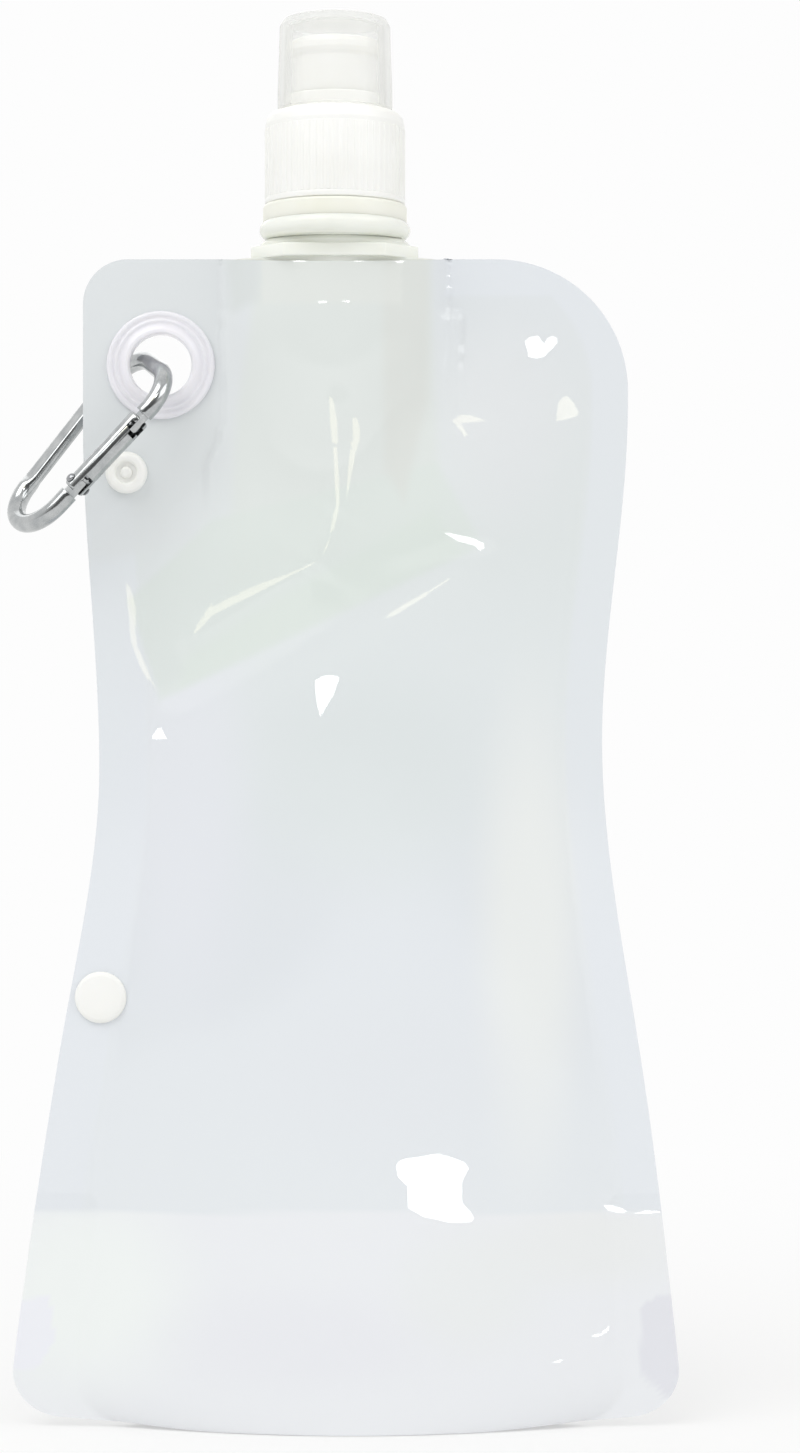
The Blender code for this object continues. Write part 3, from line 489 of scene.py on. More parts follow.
def film_panel(name, side, columns, rows, face_at):
    """side is -1 for the front and 1 for the back."""
    nothing_selected()
    bpy.ops.mesh.primitive_grid_add(x_subdivisions=columns, y_subdivisions=len(rows) - 1, size=1)
    piece = named(name)
    for vert in piece.data.vertices:
        z = rows[round((vert.co.y + 0.5) * (len(rows) - 1))]
        x = left_edge(z) + (right_edge(z) - left_edge(z)) * (vert.co.x + 0.5)
        vert.co = (x, side * face_at(x, z), z + foot_lift(x, z) - top_dip(x, z))
    if side > 0:
        edit(piece)
        bpy.ops.mesh.flip_normals()
        bpy.ops.object.mode_set(mode="OBJECT")
    cut_round_hole(piece, eyelet_middle.x, eyelet_middle.z, hole_radius)
    apply_modifier(piece, "SOLIDIFY", thickness=film_thickness, offset=-1)
    return finish_piece(piece, 60)


front_face = film_with(front_swells, front_creases, pixel_in_mm)
back_face = film_with(back_swells, back_creases)
front_film = film_panel("front_film", -1, 130, film_rows(1.1 * mm, 0.8 * mm), front_face)
back_film = film_panel("back_film", 1, 100, film_rows(1.7 * mm, 1.3 * mm), back_face)

# %% [markdown]
# The bottom film is folded in the middle, pushed up between the two others and welded to them
# round the foot. Pulled open it makes the flat foot that the bottle stands on. Its fold is the
# straight line that shows through the front 40 mm up. It is one grid whose middle row is the
# fold, so the two legs are mirrored and meet without a seam.

# %% Bottom gusset
gusset_columns, leg_rows, foot_rows = 110, 34, 12
gusset_inset = 0.3 * mm
straight_rows = leg_rows - foot_rows
rows = corner_rows(foot_rows)
leg = gusset_height - bottom_corner
rows += [bottom_corner + leg * i / straight_rows for i in range(straight_rows + 1)]
nothing_selected()
bpy.ops.mesh.primitive_grid_add(x_subdivisions=gusset_columns, y_subdivisions=2 * leg_rows, size=1)
gusset_film = named("gusset_film")
for vert in gusset_film.data.vertices:
    row = round((vert.co.y + 0.5) * 2 * leg_rows)
    side = -1 if row <= leg_rows else 1
    z = rows[min(row, 2 * leg_rows - row)]
    low, high = left_edge(z) + gusset_inset, right_edge(z) - gusset_inset
    x = low + (high - low) * (vert.co.x + 0.5)
    fold = film_thickness + 0.02 * mm
    foot = film_face(x, z) - weld_face
    rise = smooth_step((z - 6 * mm) / (gusset_height - 6 * mm))
    depth = 0.0 if row == leg_rows else fold + (foot - fold) * (1 - rise)
    vert.co = (x, side * depth, z + foot_lift(x, z))
apply_modifier(gusset_film, "SOLIDIFY", thickness=film_thickness, offset=-1)
finish_piece(gusset_film, 60)

# %% [markdown]
# The eyelet is two moulded rings pressed together through the film. The front one has a raised
# outer bead and a low inner ridge, with a shallow dish between them. A torus would give the
# bead alone, so the rings are turned round the upright axis and then laid on the film.

# %% Eyelet
seat = weld_face / mm + 0.02       # in mm, as all profiles are


def on_film(name, side, middle, profile, steps, rounding, closed=True):
    """A turned piece laid on the film. side is -1 for the front and 1 for the back."""
    piece = turn(name, profile, steps, rounding, closed=closed)
    piece.rotation_euler = (-side * math.pi / 2, 0, 0)
    piece.location = (middle.x, 0, middle.z)
    return finish_piece(piece, 40)


bore, rim, barrel = 5.85, 10.3, 6.9
front_ring_profile = (
    (bore + 0.25, -1.55), (bore, -1.2), (bore, seat + 0.9), (bore + 0.35, seat + 1.35),
    (bore + 0.9, seat + 1.35),
    (bore + 1.4, seat + 1.05), (bore + 1.9, seat + 0.85), (8.05, seat + 0.82), (8.3, seat + 0.98),
    (8.55, seat + 0.98), (8.8, seat + 0.78), (9.25, seat + 0.78), (9.5, seat + 0.98),
    (rim - 0.35, seat + 1.0),
    (rim, seat + 0.6), (rim, seat), (barrel, seat), (barrel, -1.55),
)
back_ring_profile = (
    (7.0, seat), (rim, seat), (rim, seat + 0.45), (rim - 0.5, seat + 1.0), (8.9, seat + 1.15),
    (7.3, seat + 1.0),
    (7.0, seat + 0.8),
)
eyelet_front_ring = on_film("eyelet_front_ring", -1, eyelet_middle, front_ring_profile, 96, 0.12)
eyelet_back_ring = on_film("eyelet_back_ring", 1, eyelet_middle, back_ring_profile, 96, 0.16)

# %% [markdown]
# The press snap holds the pouch rolled up. Its socket is above, on the front: a ring with a
# recess and the head of its post in the middle. The stud is below, on the back, and what shows of
# it on the front is its smooth white cap. They are turned and laid on in the same way.

# %% Press snaps
socket_profile = (
    (2.35, seat + 1.75), (3.0, seat + 1.85), (3.55, seat + 1.6), (3.95, seat + 0.95), (4.0, seat + 0.45),
    (3.85, seat), (1.0, seat), (1.0, seat + 0.85), (1.95, seat + 0.9), (2.1, seat + 1.45),
)
head_profile = (
    (0, seat + 1.5), (0.6, seat + 1.45), (0.98, seat + 1.25), (1.2, seat + 0.95), (0.9, seat + 0.88),
    (0.9, 0), (0, 0),
)
cap_profile = (
    (0, seat + 1.22), (2.4, seat + 1.18), (4.1, seat + 0.98), (4.8, seat + 0.68), (4.95, seat + 0.35),
    (4.75, seat), (0.9, seat), (0.9, 0), (0, 0),
)
stud_profile = (
    (0, seat + 1.9), (1.1, seat + 1.9), (1.7, seat + 2.15), (2.0, seat + 1.65), (1.75, seat + 0.95),
    (3.7, seat + 0.8), (4.2, seat + 0.35), (4.2, seat), (0, seat),
)
snap_socket_ring = on_film("snap_socket_ring", -1, socket_middle, socket_profile, 72, 0.12)
socket_head = on_film("snap_socket_head", -1, socket_middle, head_profile, 48, 0.12, closed=False)
socket_back = on_film("snap_socket_back", 1, socket_middle, cap_profile, 72, 0.14, closed=False)
snap_stud_boss = on_film("snap_stud_boss", 1, stud_middle, stud_profile, 72, 0.12, closed=False)
snap_stud_front = on_film("snap_stud_front", -1, stud_middle, cap_profile, 72, 0.14, closed=False)
snap_socket_cap = finish_piece(join("snap_socket_cap_moulding", [socket_back, socket_head]), 40)

# %% [markdown]
# The spout is one natural polyethylene moulding: a thread, a lock ring, a fat bead that the
# tamper band sits over, a groove, a collar and an eight-sided plate, with a boat-shaped foot that
# is welded between the films. All its heights come from the frame's pieces. The neck is turned.
# The plate and the foot aren't round, so they are extruded apart and joined to it by Boolean.

# %% Heights on the spout's axis, in mm
def ends_of(node):
    """The heights of a node's foot and top."""
    low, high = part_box(node)
    return low.z / mm, high.z / mm


neck_top = spout_high.z / mm
band_foot, band_top = ends_of("tamper_band")
skirt_foot = ends_of("closure")[0]
nozzle_foot, nozzle_top = ends_of("nozzle")
cap_foot, cap_top = ends_of("dust_cap")
bead_top = band_foot - 0.3
bead_foot = bead_top - 3.9
collar_top = bead_foot - 0.1
plate_foot = pouch_height / mm - 0.6
plate_top = pouch_height / mm + 1.8
boat_floor = boat_foot / mm
neck_radius = 10.6
bore_radius = 8.2
print(f"bead from {bead_foot:.1f} to {bead_top:.1f} mm, plate from {plate_foot:.1f} to {plate_top:.1f} mm")

# %% Spout neck, bead and collar
bead_reach = 14.35
bead_round = 2.4
bead_half = (bead_top - bead_foot) / 2
bead_middle = (bead_top + bead_foot) / 2
bead_steps = 14
groove_radius = 9.5
collar_squeeze = 0.71       # the collar is an oval, less deep than it is wide
bead_swings = [math.radians(80 - 170 * i / bead_steps) for i in range(bead_steps + 1)]
spout_profile = (
    (bore_radius, neck_top - 0.3), (bore_radius + 0.4, neck_top), (neck_radius - 0.6, neck_top),
    (neck_radius, neck_top - 0.6), (neck_radius, band_top + 2.0), (11.7, band_top + 1.4),
    (11.7, band_top + 0.8),
    (neck_radius, band_top + 0.2), (neck_radius, bead_top),
    *[(bead_reach - bead_round + bead_round * math.cos(swing), bead_middle + bead_half * math.sin(swing))
      for swing in bead_swings],
    (groove_radius, bead_foot - 0.05), (groove_radius, collar_top), (13.5, collar_top),
    (14.2, collar_top - 0.7),
    (14.3, collar_top - 1.3), (14.3, plate_top - 0.3), (9.3, plate_top - 0.3), (9.3, boat_floor),
    (bore_radius, boat_floor),
)


def on_collar(vert):
    return plate_top - 0.5 < vert.co.z / mm < bead_foot - 0.02 and vert.co.xy.length > 11 * mm


spout_body = turn("spout_moulding", spout_profile, 128, 0.12, 2)
edit_where(spout_body, "VERT", on_collar)
bpy.ops.transform.resize(value=(1, collar_squeeze, 1), center_override=(0, 0, collar_top * mm))
move(spout_body, spout_x)

# %% Spout plate, cut to eight sides
plate_half_length, plate_half_depth = 15.8, 10.4
plate_cut = 6.2
spout_x_mm = spout_x / mm
plate = box_between("spout_plate", (spout_x_mm - plate_half_length, -plate_half_depth, plate_foot),
                    (spout_x_mm + plate_half_length, plate_half_depth, plate_top))


def upright(edge):
    first, last = (plate.data.vertices[i].co for i in edge.vertices)
    return abs(first.z - last.z) > 0.5 * mm


edit_where(plate, "EDGE", upright)
bpy.ops.mesh.bevel(offset=plate_cut * mm, segments=1, affect="EDGES")
bpy.ops.object.mode_set(mode="OBJECT")
crisp_bevel(plate, 0.28, 30, 3)

# %% Boat-shaped foot with its weld ribs
boat_ribs = 4
brim = 2.2                  # height of the plain brim above the ribs, as deep as the film lets it be
boat_inset = 0.7            # the ribs' core ends this far inside the foot's length, the brim this far past
core_inset = 0.35           # how much less deep the core is than the brim
rib_swell = 1.05
rib_pitch = (boat_height / mm - brim) / boat_ribs
brim_reach = (boat_half_length + boat_inset * mm) / (boat_half_length - boat_inset * mm)
brim_depth = boat_half_depth / (boat_half_depth - core_inset * mm)
nothing_selected()
bpy.ops.mesh.primitive_circle_add(vertices=96, radius=1, fill_type="NGON", location=(0, 0, 0))
boat = named("spout_boat")
lowest = boat_floor + 0.3
for vert in boat.data.vertices:
    x = spout_x + vert.co.x * (boat_half_length - boat_inset * mm)
    depth = max(0.2 * mm, boat_cover(x, 0) - core_inset * mm)
    vert.co = (x, math.copysign(depth, vert.co.y) if abs(vert.co.y) > 0.001 else 0.0, lowest * mm)
steps = [(lowest, 1, 1)]
for rib in range(boat_ribs):
    foot = steps[-1][0]
    steps += [(foot + 0.01, rib_swell, rib_swell), (foot + 0.55 * rib_pitch, 1, 1),
              (foot + 0.56 * rib_pitch, 1 / rib_swell, 1 / rib_swell),
              (boat_floor + (rib + 1) * rib_pitch, 1, 1)]
steps += [(steps[-1][0] + 0.01, brim_reach, brim_depth), (plate_foot + 0.2, 1, 1)]
edit(boat, "FACE")
for (level, _, _), (height, across, deep) in zip(steps, steps[1:]):
    bpy.ops.mesh.extrude_region_move(TRANSFORM_OT_translate={"value": (0, 0, (height - level) * mm)})
    bpy.ops.transform.resize(value=(across, deep, 1), center_override=(spout_x, 0, height * mm))
tidy_mesh(boat)

# %% Joining the spout and boring it through
nothing_selected()
bpy.ops.mesh.primitive_cylinder_add(vertices=128, radius=bore_radius * mm, depth=40 * mm,
                                    location=(spout_x, 0, boat_foot))
bore_cutter = bpy.context.object
for cut_through in (boat, plate):
    apply_modifier(cut_through, "BOOLEAN", object=bore_cutter, operation="DIFFERENCE")
bpy.data.objects.remove(bore_cutter)
for addition in (boat, plate):
    apply_modifier(spout_body, "BOOLEAN", object=addition, operation="UNION")
    bpy.data.objects.remove(addition)
finish_piece(spout_body, 32)

# %% [markdown]
# The cream tamper band is what is left round the neck when the closure is first opened. The
# closure above it is white polypropylene, with fine upright ribs so that it can be gripped. The
# ribs could be small blocks, but raising every other strip of the skirt keeps it one moulding.

# %% Tamper band
band_profile = (
    (12.0, bead_top), (12.6, bead_top), (13.3, bead_top - 0.36), (13.62, bead_top - 0.58),
    (13.66, bead_top - 0.45), (13.66, band_top - 0.25), (13.35, band_top + 0.2), (12.0, band_top + 0.2),
)
band_ring = turn("tamper_band_ring", band_profile, 128, 0.05)
move(band_ring, spout_x)
finish_piece(band_ring, 35)

# %% Closure shell
closure_radius = 13.2
spigot_height = 2.9
closure_top = cap_foot - 0.3
spigot_top = closure_top + spigot_height
deck_underside = closure_top - 2.4
chimney_top = closure_top + 8.8
rib_count = 64
closure_profile = (
    (9.25, spigot_top), (9.45, spigot_top - 0.25), (9.45, closure_top), (10.9, closure_top - 0.02),
    (12.1, closure_top - 0.4), (12.9, closure_top - 1.3), (closure_radius, closure_top - 2.6),
    (closure_radius, closure_top - 3.3), (closure_radius, skirt_foot + 1.1),
    (closure_radius + 0.1, skirt_foot + 0.95),
    (closure_radius + 0.1, skirt_foot + 0.2), (closure_radius - 0.15, skirt_foot), (12.3, skirt_foot),
    (12.3, deck_underside), (5.3, deck_underside), (5.3, chimney_top), (6.2, chimney_top),
    (6.45, chimney_top - 0.4),
    (6.45, chimney_top - 1.0), (6.2, chimney_top - 1.3), (6.2, closure_top), (8.45, closure_top),
    (8.45, spigot_top),
)
closure_shell = turn("closure_moulding", closure_profile, 2 * rib_count, 0.16)

# %% Ribs of the closure, raised from every other strip of the skirt
rib_height = 0.13
rib_shortening = 0.985


def on_rib(face):
    """The long outer faces of every other strip."""
    top = max(closure_shell.data.vertices[i].co.z for i in face.vertices)
    strip = math.floor(math.atan2(face.center.y, face.center.x) / (math.tau / (2 * rib_count)))
    return top - face.center.z > 3 * mm and face.center.xy.length > 13 * mm and strip % 2 == 0


edit_where(closure_shell, "FACE", on_rib)
bpy.ops.mesh.extrude_faces_move(TRANSFORM_OT_shrink_fatten={"value": rib_height * mm})
skirt_middle = (skirt_foot + closure_top) / 2 - 1
bpy.ops.transform.resize(value=(1, 1, rib_shortening), center_override=(0, 0, skirt_middle * mm))
bpy.ops.object.mode_set(mode="OBJECT")
crisp_bevel(closure_shell, 0.06, 50)

# %% Valve post and spokes
post_top = nozzle_top - 0.4
post_profile = (
    (0, post_top), (1.9, post_top), (2.3, post_top - 0.35), (2.3, post_top - 1.8), (2.0, post_top - 2.4),
    (2.0, deck_underside), (0, deck_underside),
)
valve_post = turn("valve_post", post_profile, 48, 0.12, 2, closed=False)


def spoke(turned):
    piece = box_between("spoke", (1.6, -0.6, deck_underside + 0.1), (5.6, 0.6, deck_underside + 1.9))
    crisp_bevel(piece, 0.25, 30, 3)
    piece.rotation_euler = (0, 0, turned)
    place_in_mesh(piece)
    return piece


# %% Threads of the closure and the neck
thread_pitch = 3.0
thread_start = skirt_foot + 5.2


def screw_thread(name, root, crest, turns, begin):
    """One tooth of thread, wound up round Z by the Screw modifier and closed at both ends."""
    nothing_selected()
    bpy.ops.mesh.primitive_plane_add(size=1, location=(0, 0, 0))
    piece = named(name)
    section = ((root, -0.8), (crest, -0.4), (root, 0.8), (crest, 0.4))
    for vert, (radius, height) in zip(piece.data.vertices, section):
        vert.co = Vector((radius * math.cos(begin), radius * math.sin(begin), thread_start + height)) * mm
    apply_modifier(piece, "SCREW", angle=math.tau * turns, screw_offset=thread_pitch * turns * mm,
                   steps=round(72 * turns), render_steps=round(72 * turns), use_merge_vertices=False)
    edit(piece)
    bpy.ops.mesh.select_all(action="DESELECT")
    bpy.ops.mesh.select_non_manifold()
    bpy.ops.mesh.fill()
    tidy_mesh(piece)
    return piece


closure_thread = screw_thread("closure_thread", 12.35, 11.1, 1.0, math.pi)
spokes = [spoke(math.tau * i / 3) for i in range(3)]
closure_moulding = join("closure_moulding", [closure_shell, valve_post, closure_thread, *spokes])
move(closure_moulding, spout_x)
finish_piece(closure_moulding, 32)
neck_thread = screw_thread("neck_thread", neck_radius - 0.1, 11.8, 1.5, 0.0)
move(neck_thread, spout_x)
spout_moulding = finish_piece(join("spout_moulding", [spout_body, neck_thread]), 32)

# %% [markdown]
# The nozzle pulls up on the closure's chimney. Over it fits a dust cap of clear polypropylene
# with a frosted skin, so the nozzle shows through it softly. The cap's profile goes round its
# inside too, because a see-through wall needs both its faces.

# %% Nozzle and dust cap
nozzle_profile = (
    (2.6, nozzle_top - 0.25), (2.85, nozzle_top), (7.8, nozzle_top), (8.7, nozzle_top - 0.4),
    (9.15, nozzle_top - 1.2), (9.15, nozzle_top - 2.3), (8.65, nozzle_top - 3.1), (8.15, nozzle_top - 3.6),
    (8.15, nozzle_foot), (6.55, nozzle_foot), (6.75, nozzle_foot + 0.8), (6.75, nozzle_top - 4.0),
    (2.6, nozzle_top - 2.3),
)
dust_cap_profile = (
    (0, cap_top - 0.15), (4.0, cap_top - 0.05), (8.3, cap_top), (9.75, cap_top - 0.45), (10.5, cap_top - 1.7),
    (10.9, cap_foot + 3.2), (10.9, cap_foot + 0.2), (10.7, cap_foot), (9.8, cap_foot), (9.8, cap_foot + 2.9),
    (9.45, cap_top - 2.2), (8.7, cap_top - 1.35), (0, cap_top - 1.3),
)
pull_nozzle = turn("pull_nozzle", nozzle_profile, 112, 0.2)
move(pull_nozzle, spout_x)
finish_piece(pull_nozzle, 32)
frosted_cap = turn("frosted_dust_cap", dust_cap_profile, 128, 0.3, 4, closed=False)
move(frosted_cap, spout_x)
finish_piece(frosted_cap, 40)

# %% [markdown]
# The carabiner is bent from round aluminium wire whose long back is pressed flat. Its plane leans
# back through the eyelet, so its gate lies in front of the pouch and its spine behind it. A
# round section follows a bent route, as wire does in the bender. It is made flat at the world's
# origin, in millimetres, and then taken to its place, which is simpler than bending it there.

# %% Carabiner's place
loop_length = 38.8
gate_line = 9.2
hang = math.radians(46.9)
lean = math.radians(56)
along = Vector((math.cos(hang), 0, math.sin(hang)))
across = Vector((math.sin(hang), 0, -math.cos(hang))) * math.cos(lean) + Vector((0, -1, 0)) * math.sin(lean)
crossing = Vector((eyelet_middle.x - 1.9 * mm, 0, eyelet_middle.z + 0.5 * mm))
loop_frame = Matrix((along, across, along.cross(across))).transposed().to_4x4()
loop_frame.translation = crossing - along * (loop_length / 2 * mm) + across * 3.0 * mm


def into_loop(piece):
    """Takes a piece made flat at the world's origin to the carabiner's own place."""
    piece.matrix_world = loop_frame @ piece.matrix_world
    return finish_piece(piece, 35)


# %% Bent wire's route
wire_radius = 1.75
bend_radius = 7.2
gate_start, gate_end = -8.2, 10.2
spine_foot, spine_nose = -4.3, -11.9        # the spine's place across, at each end
wire_corners = (
    (gate_start - 1, gate_line), (-loop_length / 2, gate_line), (-loop_length / 2, spine_foot),
    (loop_length / 2, spine_nose), (loop_length / 2, gate_line), (gate_end + 1, gate_line),
)


def rounded_path(corners, radius, steps):
    """Straight runs between the corners, with each inner corner an arc."""
    points = [Vector(corners[0])]
    for before, corner, after in zip(corners, corners[1:], corners[2:]):
        corner = Vector(corner)
        back = (Vector(before) - corner).normalized()
        on = (Vector(after) - corner).normalized()
        half = back.angle(on) / 2
        centre = corner + (back + on).normalized() * radius / math.sin(half)
        first = corner + back * radius / math.tan(half) - centre
        last = corner + on * radius / math.tan(half) - centre
        turned = first.angle(last)
        for i in range(steps + 1):
            swing = first * math.sin((1 - i / steps) * turned) + last * math.sin(i / steps * turned)
            points.append(centre + swing / math.sin(turned))
    points.append(Vector(corners[-1]))
    return points


def even_steps(points, longest):
    """Adds points along the straight runs, so that no step is longer than longest."""
    spaced = [points[0]]
    for before, after in zip(points, points[1:]):
        count = max(1, math.ceil((after - before).length / longest))
        spaced += [before.lerp(after, i / count) for i in range(1, count + 1)]
    return spaced


route = even_steps(rounded_path(wire_corners, bend_radius, 20), 0.8)
print(f"wire bent through {len(route)} points")

# %% Bent wire with its spine pressed flat
nothing_selected()
bpy.ops.mesh.primitive_plane_add(size=mm, location=(0, 0, 0))
wire_piece = bpy.context.object
edit(wire_piece)
bpy.ops.mesh.merge(type="CENTER")
bpy.ops.transform.translate(value=(route[0].x * mm, route[0].y * mm, 0))
for before, after in zip(route, route[1:]):
    step = ((after.x - before.x) * mm, (after.y - before.y) * mm, 0)
    bpy.ops.mesh.extrude_region_move(TRANSFORM_OT_translate={"value": step})
bpy.ops.object.mode_set(mode="OBJECT")
bpy.ops.object.convert(target="CURVE")
wire_piece = bpy.context.object
wire_piece.data.bevel_depth = wire_radius * mm
wire_piece.data.bevel_resolution = 10
wire_piece.data.use_fill_caps = True
bpy.ops.object.convert(target="MESH")
wire_piece = bpy.context.object
tidy_mesh(wire_piece)
pressed = 1.05
spread = 1.12
spine_end = loop_length / 2 - bend_radius * 0.7
for vert in wire_piece.data.vertices:
    if vert.co.y > 0:
        continue
    x, y, z = vert.co / mm
    share = smooth_step((spine_end - abs(x)) / 2.5)
    allowed = wire_radius - (wire_radius - pressed) * share
    spine_line = spine_foot + (spine_nose - spine_foot) * (x + loop_length / 2) / loop_length
    y = spine_line + (y - spine_line) * (1 + (spread - 1) * share)
    vert.co = Vector((x, y, max(-allowed, min(allowed, z)))) * mm
crisp_bevel(wire_piece, 0.12, 40)

# %% Tongues of the wire, which go into the gate
rivet_along = gate_start + 1.4
latch_along = gate_end - 2.0
tongue_half = 1.45
hinge_tongue = box_between("hinge_tongue", (gate_start - 2.0, gate_line - tongue_half, -0.8),
                           (rivet_along + 1.2, gate_line + tongue_half, 0.8))
latch_tongue = box_between("latch_tongue", (latch_along - 1, gate_line - 1.1, -0.75),
                           (gate_end + 2.0, gate_line + tongue_half, 0.75))
for tongue in (hinge_tongue, latch_tongue):
    crisp_bevel(tongue, 0.3, 30)
carabiner_loop = into_loop(join("carabiner_loop", [wire_piece, hinge_tongue, latch_tongue]))

# %% Gate tube with a slot at each end
gate_radius = 2.05
gate_length = gate_end - gate_start
gate_profile = (
    (0, gate_length), (gate_radius - 0.35, gate_length), (gate_radius, gate_length - 0.35),
    (gate_radius, 0.35), (gate_radius - 0.35, 0), (0, 0),
)
gate_tube = turn("carabiner_gate_tube", gate_profile, 64, 0.18, closed=False)
gate_tube.rotation_euler = (0, math.pi / 2, 0)
gate_tube.location = (gate_start * mm, gate_line * mm, 0)
place_in_mesh(gate_tube)
past_tube = gate_line + 3
slots = (
    ((gate_start - 1, gate_line - 3, -0.95), (rivet_along + 2.4, past_tube, 0.95)),
    ((latch_along - 1.8, gate_line - 1.3, -0.95), (gate_end + 1, past_tube, 0.95)),
    ((latch_along - 0.8, gate_line - 0.9, -1.7), (latch_along + 0.8, past_tube, 1.7)),
)
for low, high in slots:
    cutter = box_between("slot_cutter", low, high)
    apply_modifier(gate_tube, "BOOLEAN", object=cutter, operation="DIFFERENCE")
    bpy.data.objects.remove(cutter)
crisp_bevel(gate_tube, 0.07, 45)
into_loop(gate_tube)

# %% Gate rivet and latch pin
ears = gate_radius + 0.05
pin_half = 1.45
domed_head = ((0, ears + 0.55), (0.45, ears + 0.5), (0.85, ears + 0.25), (0.95, ears))
rivet_profile = (
    *domed_head, (0.55, ears - 0.1), (0.55, 0.1 - ears),
    *[(radius, -height) for radius, height in reversed(domed_head)],
)
pin_profile = ((0, pin_half), (0.5, pin_half), (0.5, -pin_half), (0, -pin_half))
rivet_piece = turn("gate_rivet_domed", rivet_profile, 32, 0.08, 2, closed=False)
move(rivet_piece, rivet_along * mm, gate_line * mm)
into_loop(rivet_piece)
pin_piece = turn("latch_pin_turned", pin_profile, 32, 0.08, 2, closed=False)
move(pin_piece, latch_along * mm, gate_line * mm)
into_loop(pin_piece)

# %% [markdown]
# Materials come last, because they read the finished pieces' places. Each starts from what the
# real material is. Patterns are sized in millimetres, so a texture's scale is one over the size.

# %% Helpers for materials
def srgb(text):
    """A colour written as sRGB hex, as the linear values that the shader takes."""
    shares = [int(text[i:i + 2], 16) / 255 for i in (0, 2, 4)]
    return [s / 12.92 if s <= 0.04045 else ((s + 0.055) / 1.055) ** 2.4 for s in shares] + [1.0]


def feed(node, inputs):
    """Sets a node's inputs. Each is a value, or another node's output to link from."""
    for name, value in dict(inputs).items():
        if isinstance(value, bpy.types.NodeSocket):
            node.id_data.links.new(value, node.inputs[name])
        else:
            node.inputs[name].default_value = value


def add_node(tree, kind, settings=(), inputs=(), output=0):
    """Adds a node with its settings and inputs, and gives back one of its outputs."""
    node = tree.nodes.new("ShaderNode" + kind)
    for name, value in dict(settings).items():
        setattr(node, name, value)
    feed(node, inputs)
    return node.outputs[output]


def new_material(name, values):
    """A material with its even values on the shader's own sockets."""
    made = bpy.data.materials.new(name)
    made.use_nodes = True
    shader = made.node_tree.nodes["Principled BSDF"]
    feed(shader, values)
    return made, made.node_tree, shader


def set_stops(ramp_output, stops):
    """Gives a colour ramp its (place, colour) stops."""
    elements = ramp_output.node.color_ramp.elements
    while len(elements) < len(stops):
        elements.new(0.5)
    for element, (place, colour) in zip(elements, stops):
        element.position = place
        element.color = colour


def give(piece, material):
    piece.data.materials.clear()
    piece.data.materials.append(material)


# %% [markdown]
# The film is a laminate of nylon and polyethylene. It is milky because the polyethylene scatters
# light inside, and glossy because its skin was cast on a polished roll, so a lamp's reflection
# has a sharp edge on it. Zones of it look different through what lies behind: bluer over the
# welds and paler below the gusset's fold. On the cone under the spout and beside the spout's foot
# it is greener, and darker with painted shade, and lighter and darker clouds of painted light and
# shade lie where its swells turn towards or away from the light. The zones are painted on the
# film's points as a colour attribute, which needs no picture and bends with the film. Their borders
# are given in pixels.

# %% Zones of the film, with painted light and shade
# The patches under and beside the spout are greener and hold painted shade on the cone and beside the spout's
# foot
# Hex colour, share, softness in pixels, convex outline
tint_and_shade_patches = (
    ("DEE2E3", 0.8, 18, [(60, 230), (246, 230), (240, 400), (196, 540), (110, 560), (60, 560)]),
    ("DDE2DF", 0.9, 16, [(244, 230), (428, 230), (440, 520), (210, 600), (236, 420)]),
    ("DBE2DE", 0.8, 9, [(436, 462), (483, 545), (160, 700), (128, 600), (212, 520)]),
    ("D9E2DB", 0.5, 16, [(300, 585), (428, 505), (462, 552), (180, 688), (188, 648)]),
    ("DADDD9", 0.8, 14, [(382, 230), (430, 230), (428, 400), (404, 500), (384, 470)]),
    ("D4D9D7", 0.7, 16, [(222, 230), (262, 230), (258, 300), (232, 312)]),
    ("E1E4E0", 0.6, 3, [(262, 230), (402, 230), (402, 303), (262, 303)]),
    ("DEDFE5", 0.9, 2, [(640, 1306), (661, 1295), (700, 1295), (700, 1400), (664, 1396), (641, 1372)]),
    ("E9EAF1", 0.8, 2, [(0, 1300), (50, 1297), (55, 1340), (38, 1368), (0, 1368)]),
)
# Painted light and shade: lighter and darker clouds where the film's swells turn towards or away from the
# light
# Hex colour, share, middle pixel, half width and half height in pixels
light_and_shade_clouds = (
    ("DBE1E1", 0.7, (370, 770), 130, 120), ("E4E6EC", 0.6, (185, 800), 70, 230),
    ("ECEEEB", 0.7, (530, 930), 55, 250), ("DFE2E6", 0.4, (400, 1080), 160, 90),
    ("E0E2E4", 0.5, (505, 420), 60, 110),
)
# The same painted light and shade on the foot, below the gusset's fold
foot_light_and_shade_clouds = (
    ("ECF0EE", 0.9, (80, 1290), 120, 110), ("E6E8E7", 0.7, (590, 1245), 110, 50),
    ("E4E5EA", 0.6, (300, 1340), 150, 55), ("E5E8E6", 0.5, (470, 1290), 80, 70),
)
# Pixel row and hex colour, from the top down to the gusset's fold
row_colours = ((262, "DEE2E5"), (400, "DEE2E3"), (550, "DEE3E3"), (670, "E0E5E6"), (950, "E0E4E8"),
               (1200, "E1E5E8"))
fold_row = 1213
foot_colour = "E7E9EC"
weld_colour = "E2E6EB"
weld_share = 0.55
left_shade, right_shade = 9.0 * mm, 7.0 * mm     # widths of the bluer border


def borders(points):
    """A convex outline's sides as (a, b, c), where a * column + b * row + c is the depth inside."""
    area = sum(x * b - a * y for (x, y), (a, b) in zip(points, points[1:] + points[:1]))
    sides = []
    for (x, y), (a, b) in zip(points, points[1:] + points[:1]):
        length = math.hypot(a - x, b - y) * (1 if area > 0 else -1)
        across, down = (y - b) / length, (a - x) / length
        sides.append((across, down, -(across * x + down * y)))
    return sides


def soft_steps(values):
    values = np.clip(values, 0.0, 1.0)
    return values * values * (3 - 2 * values)


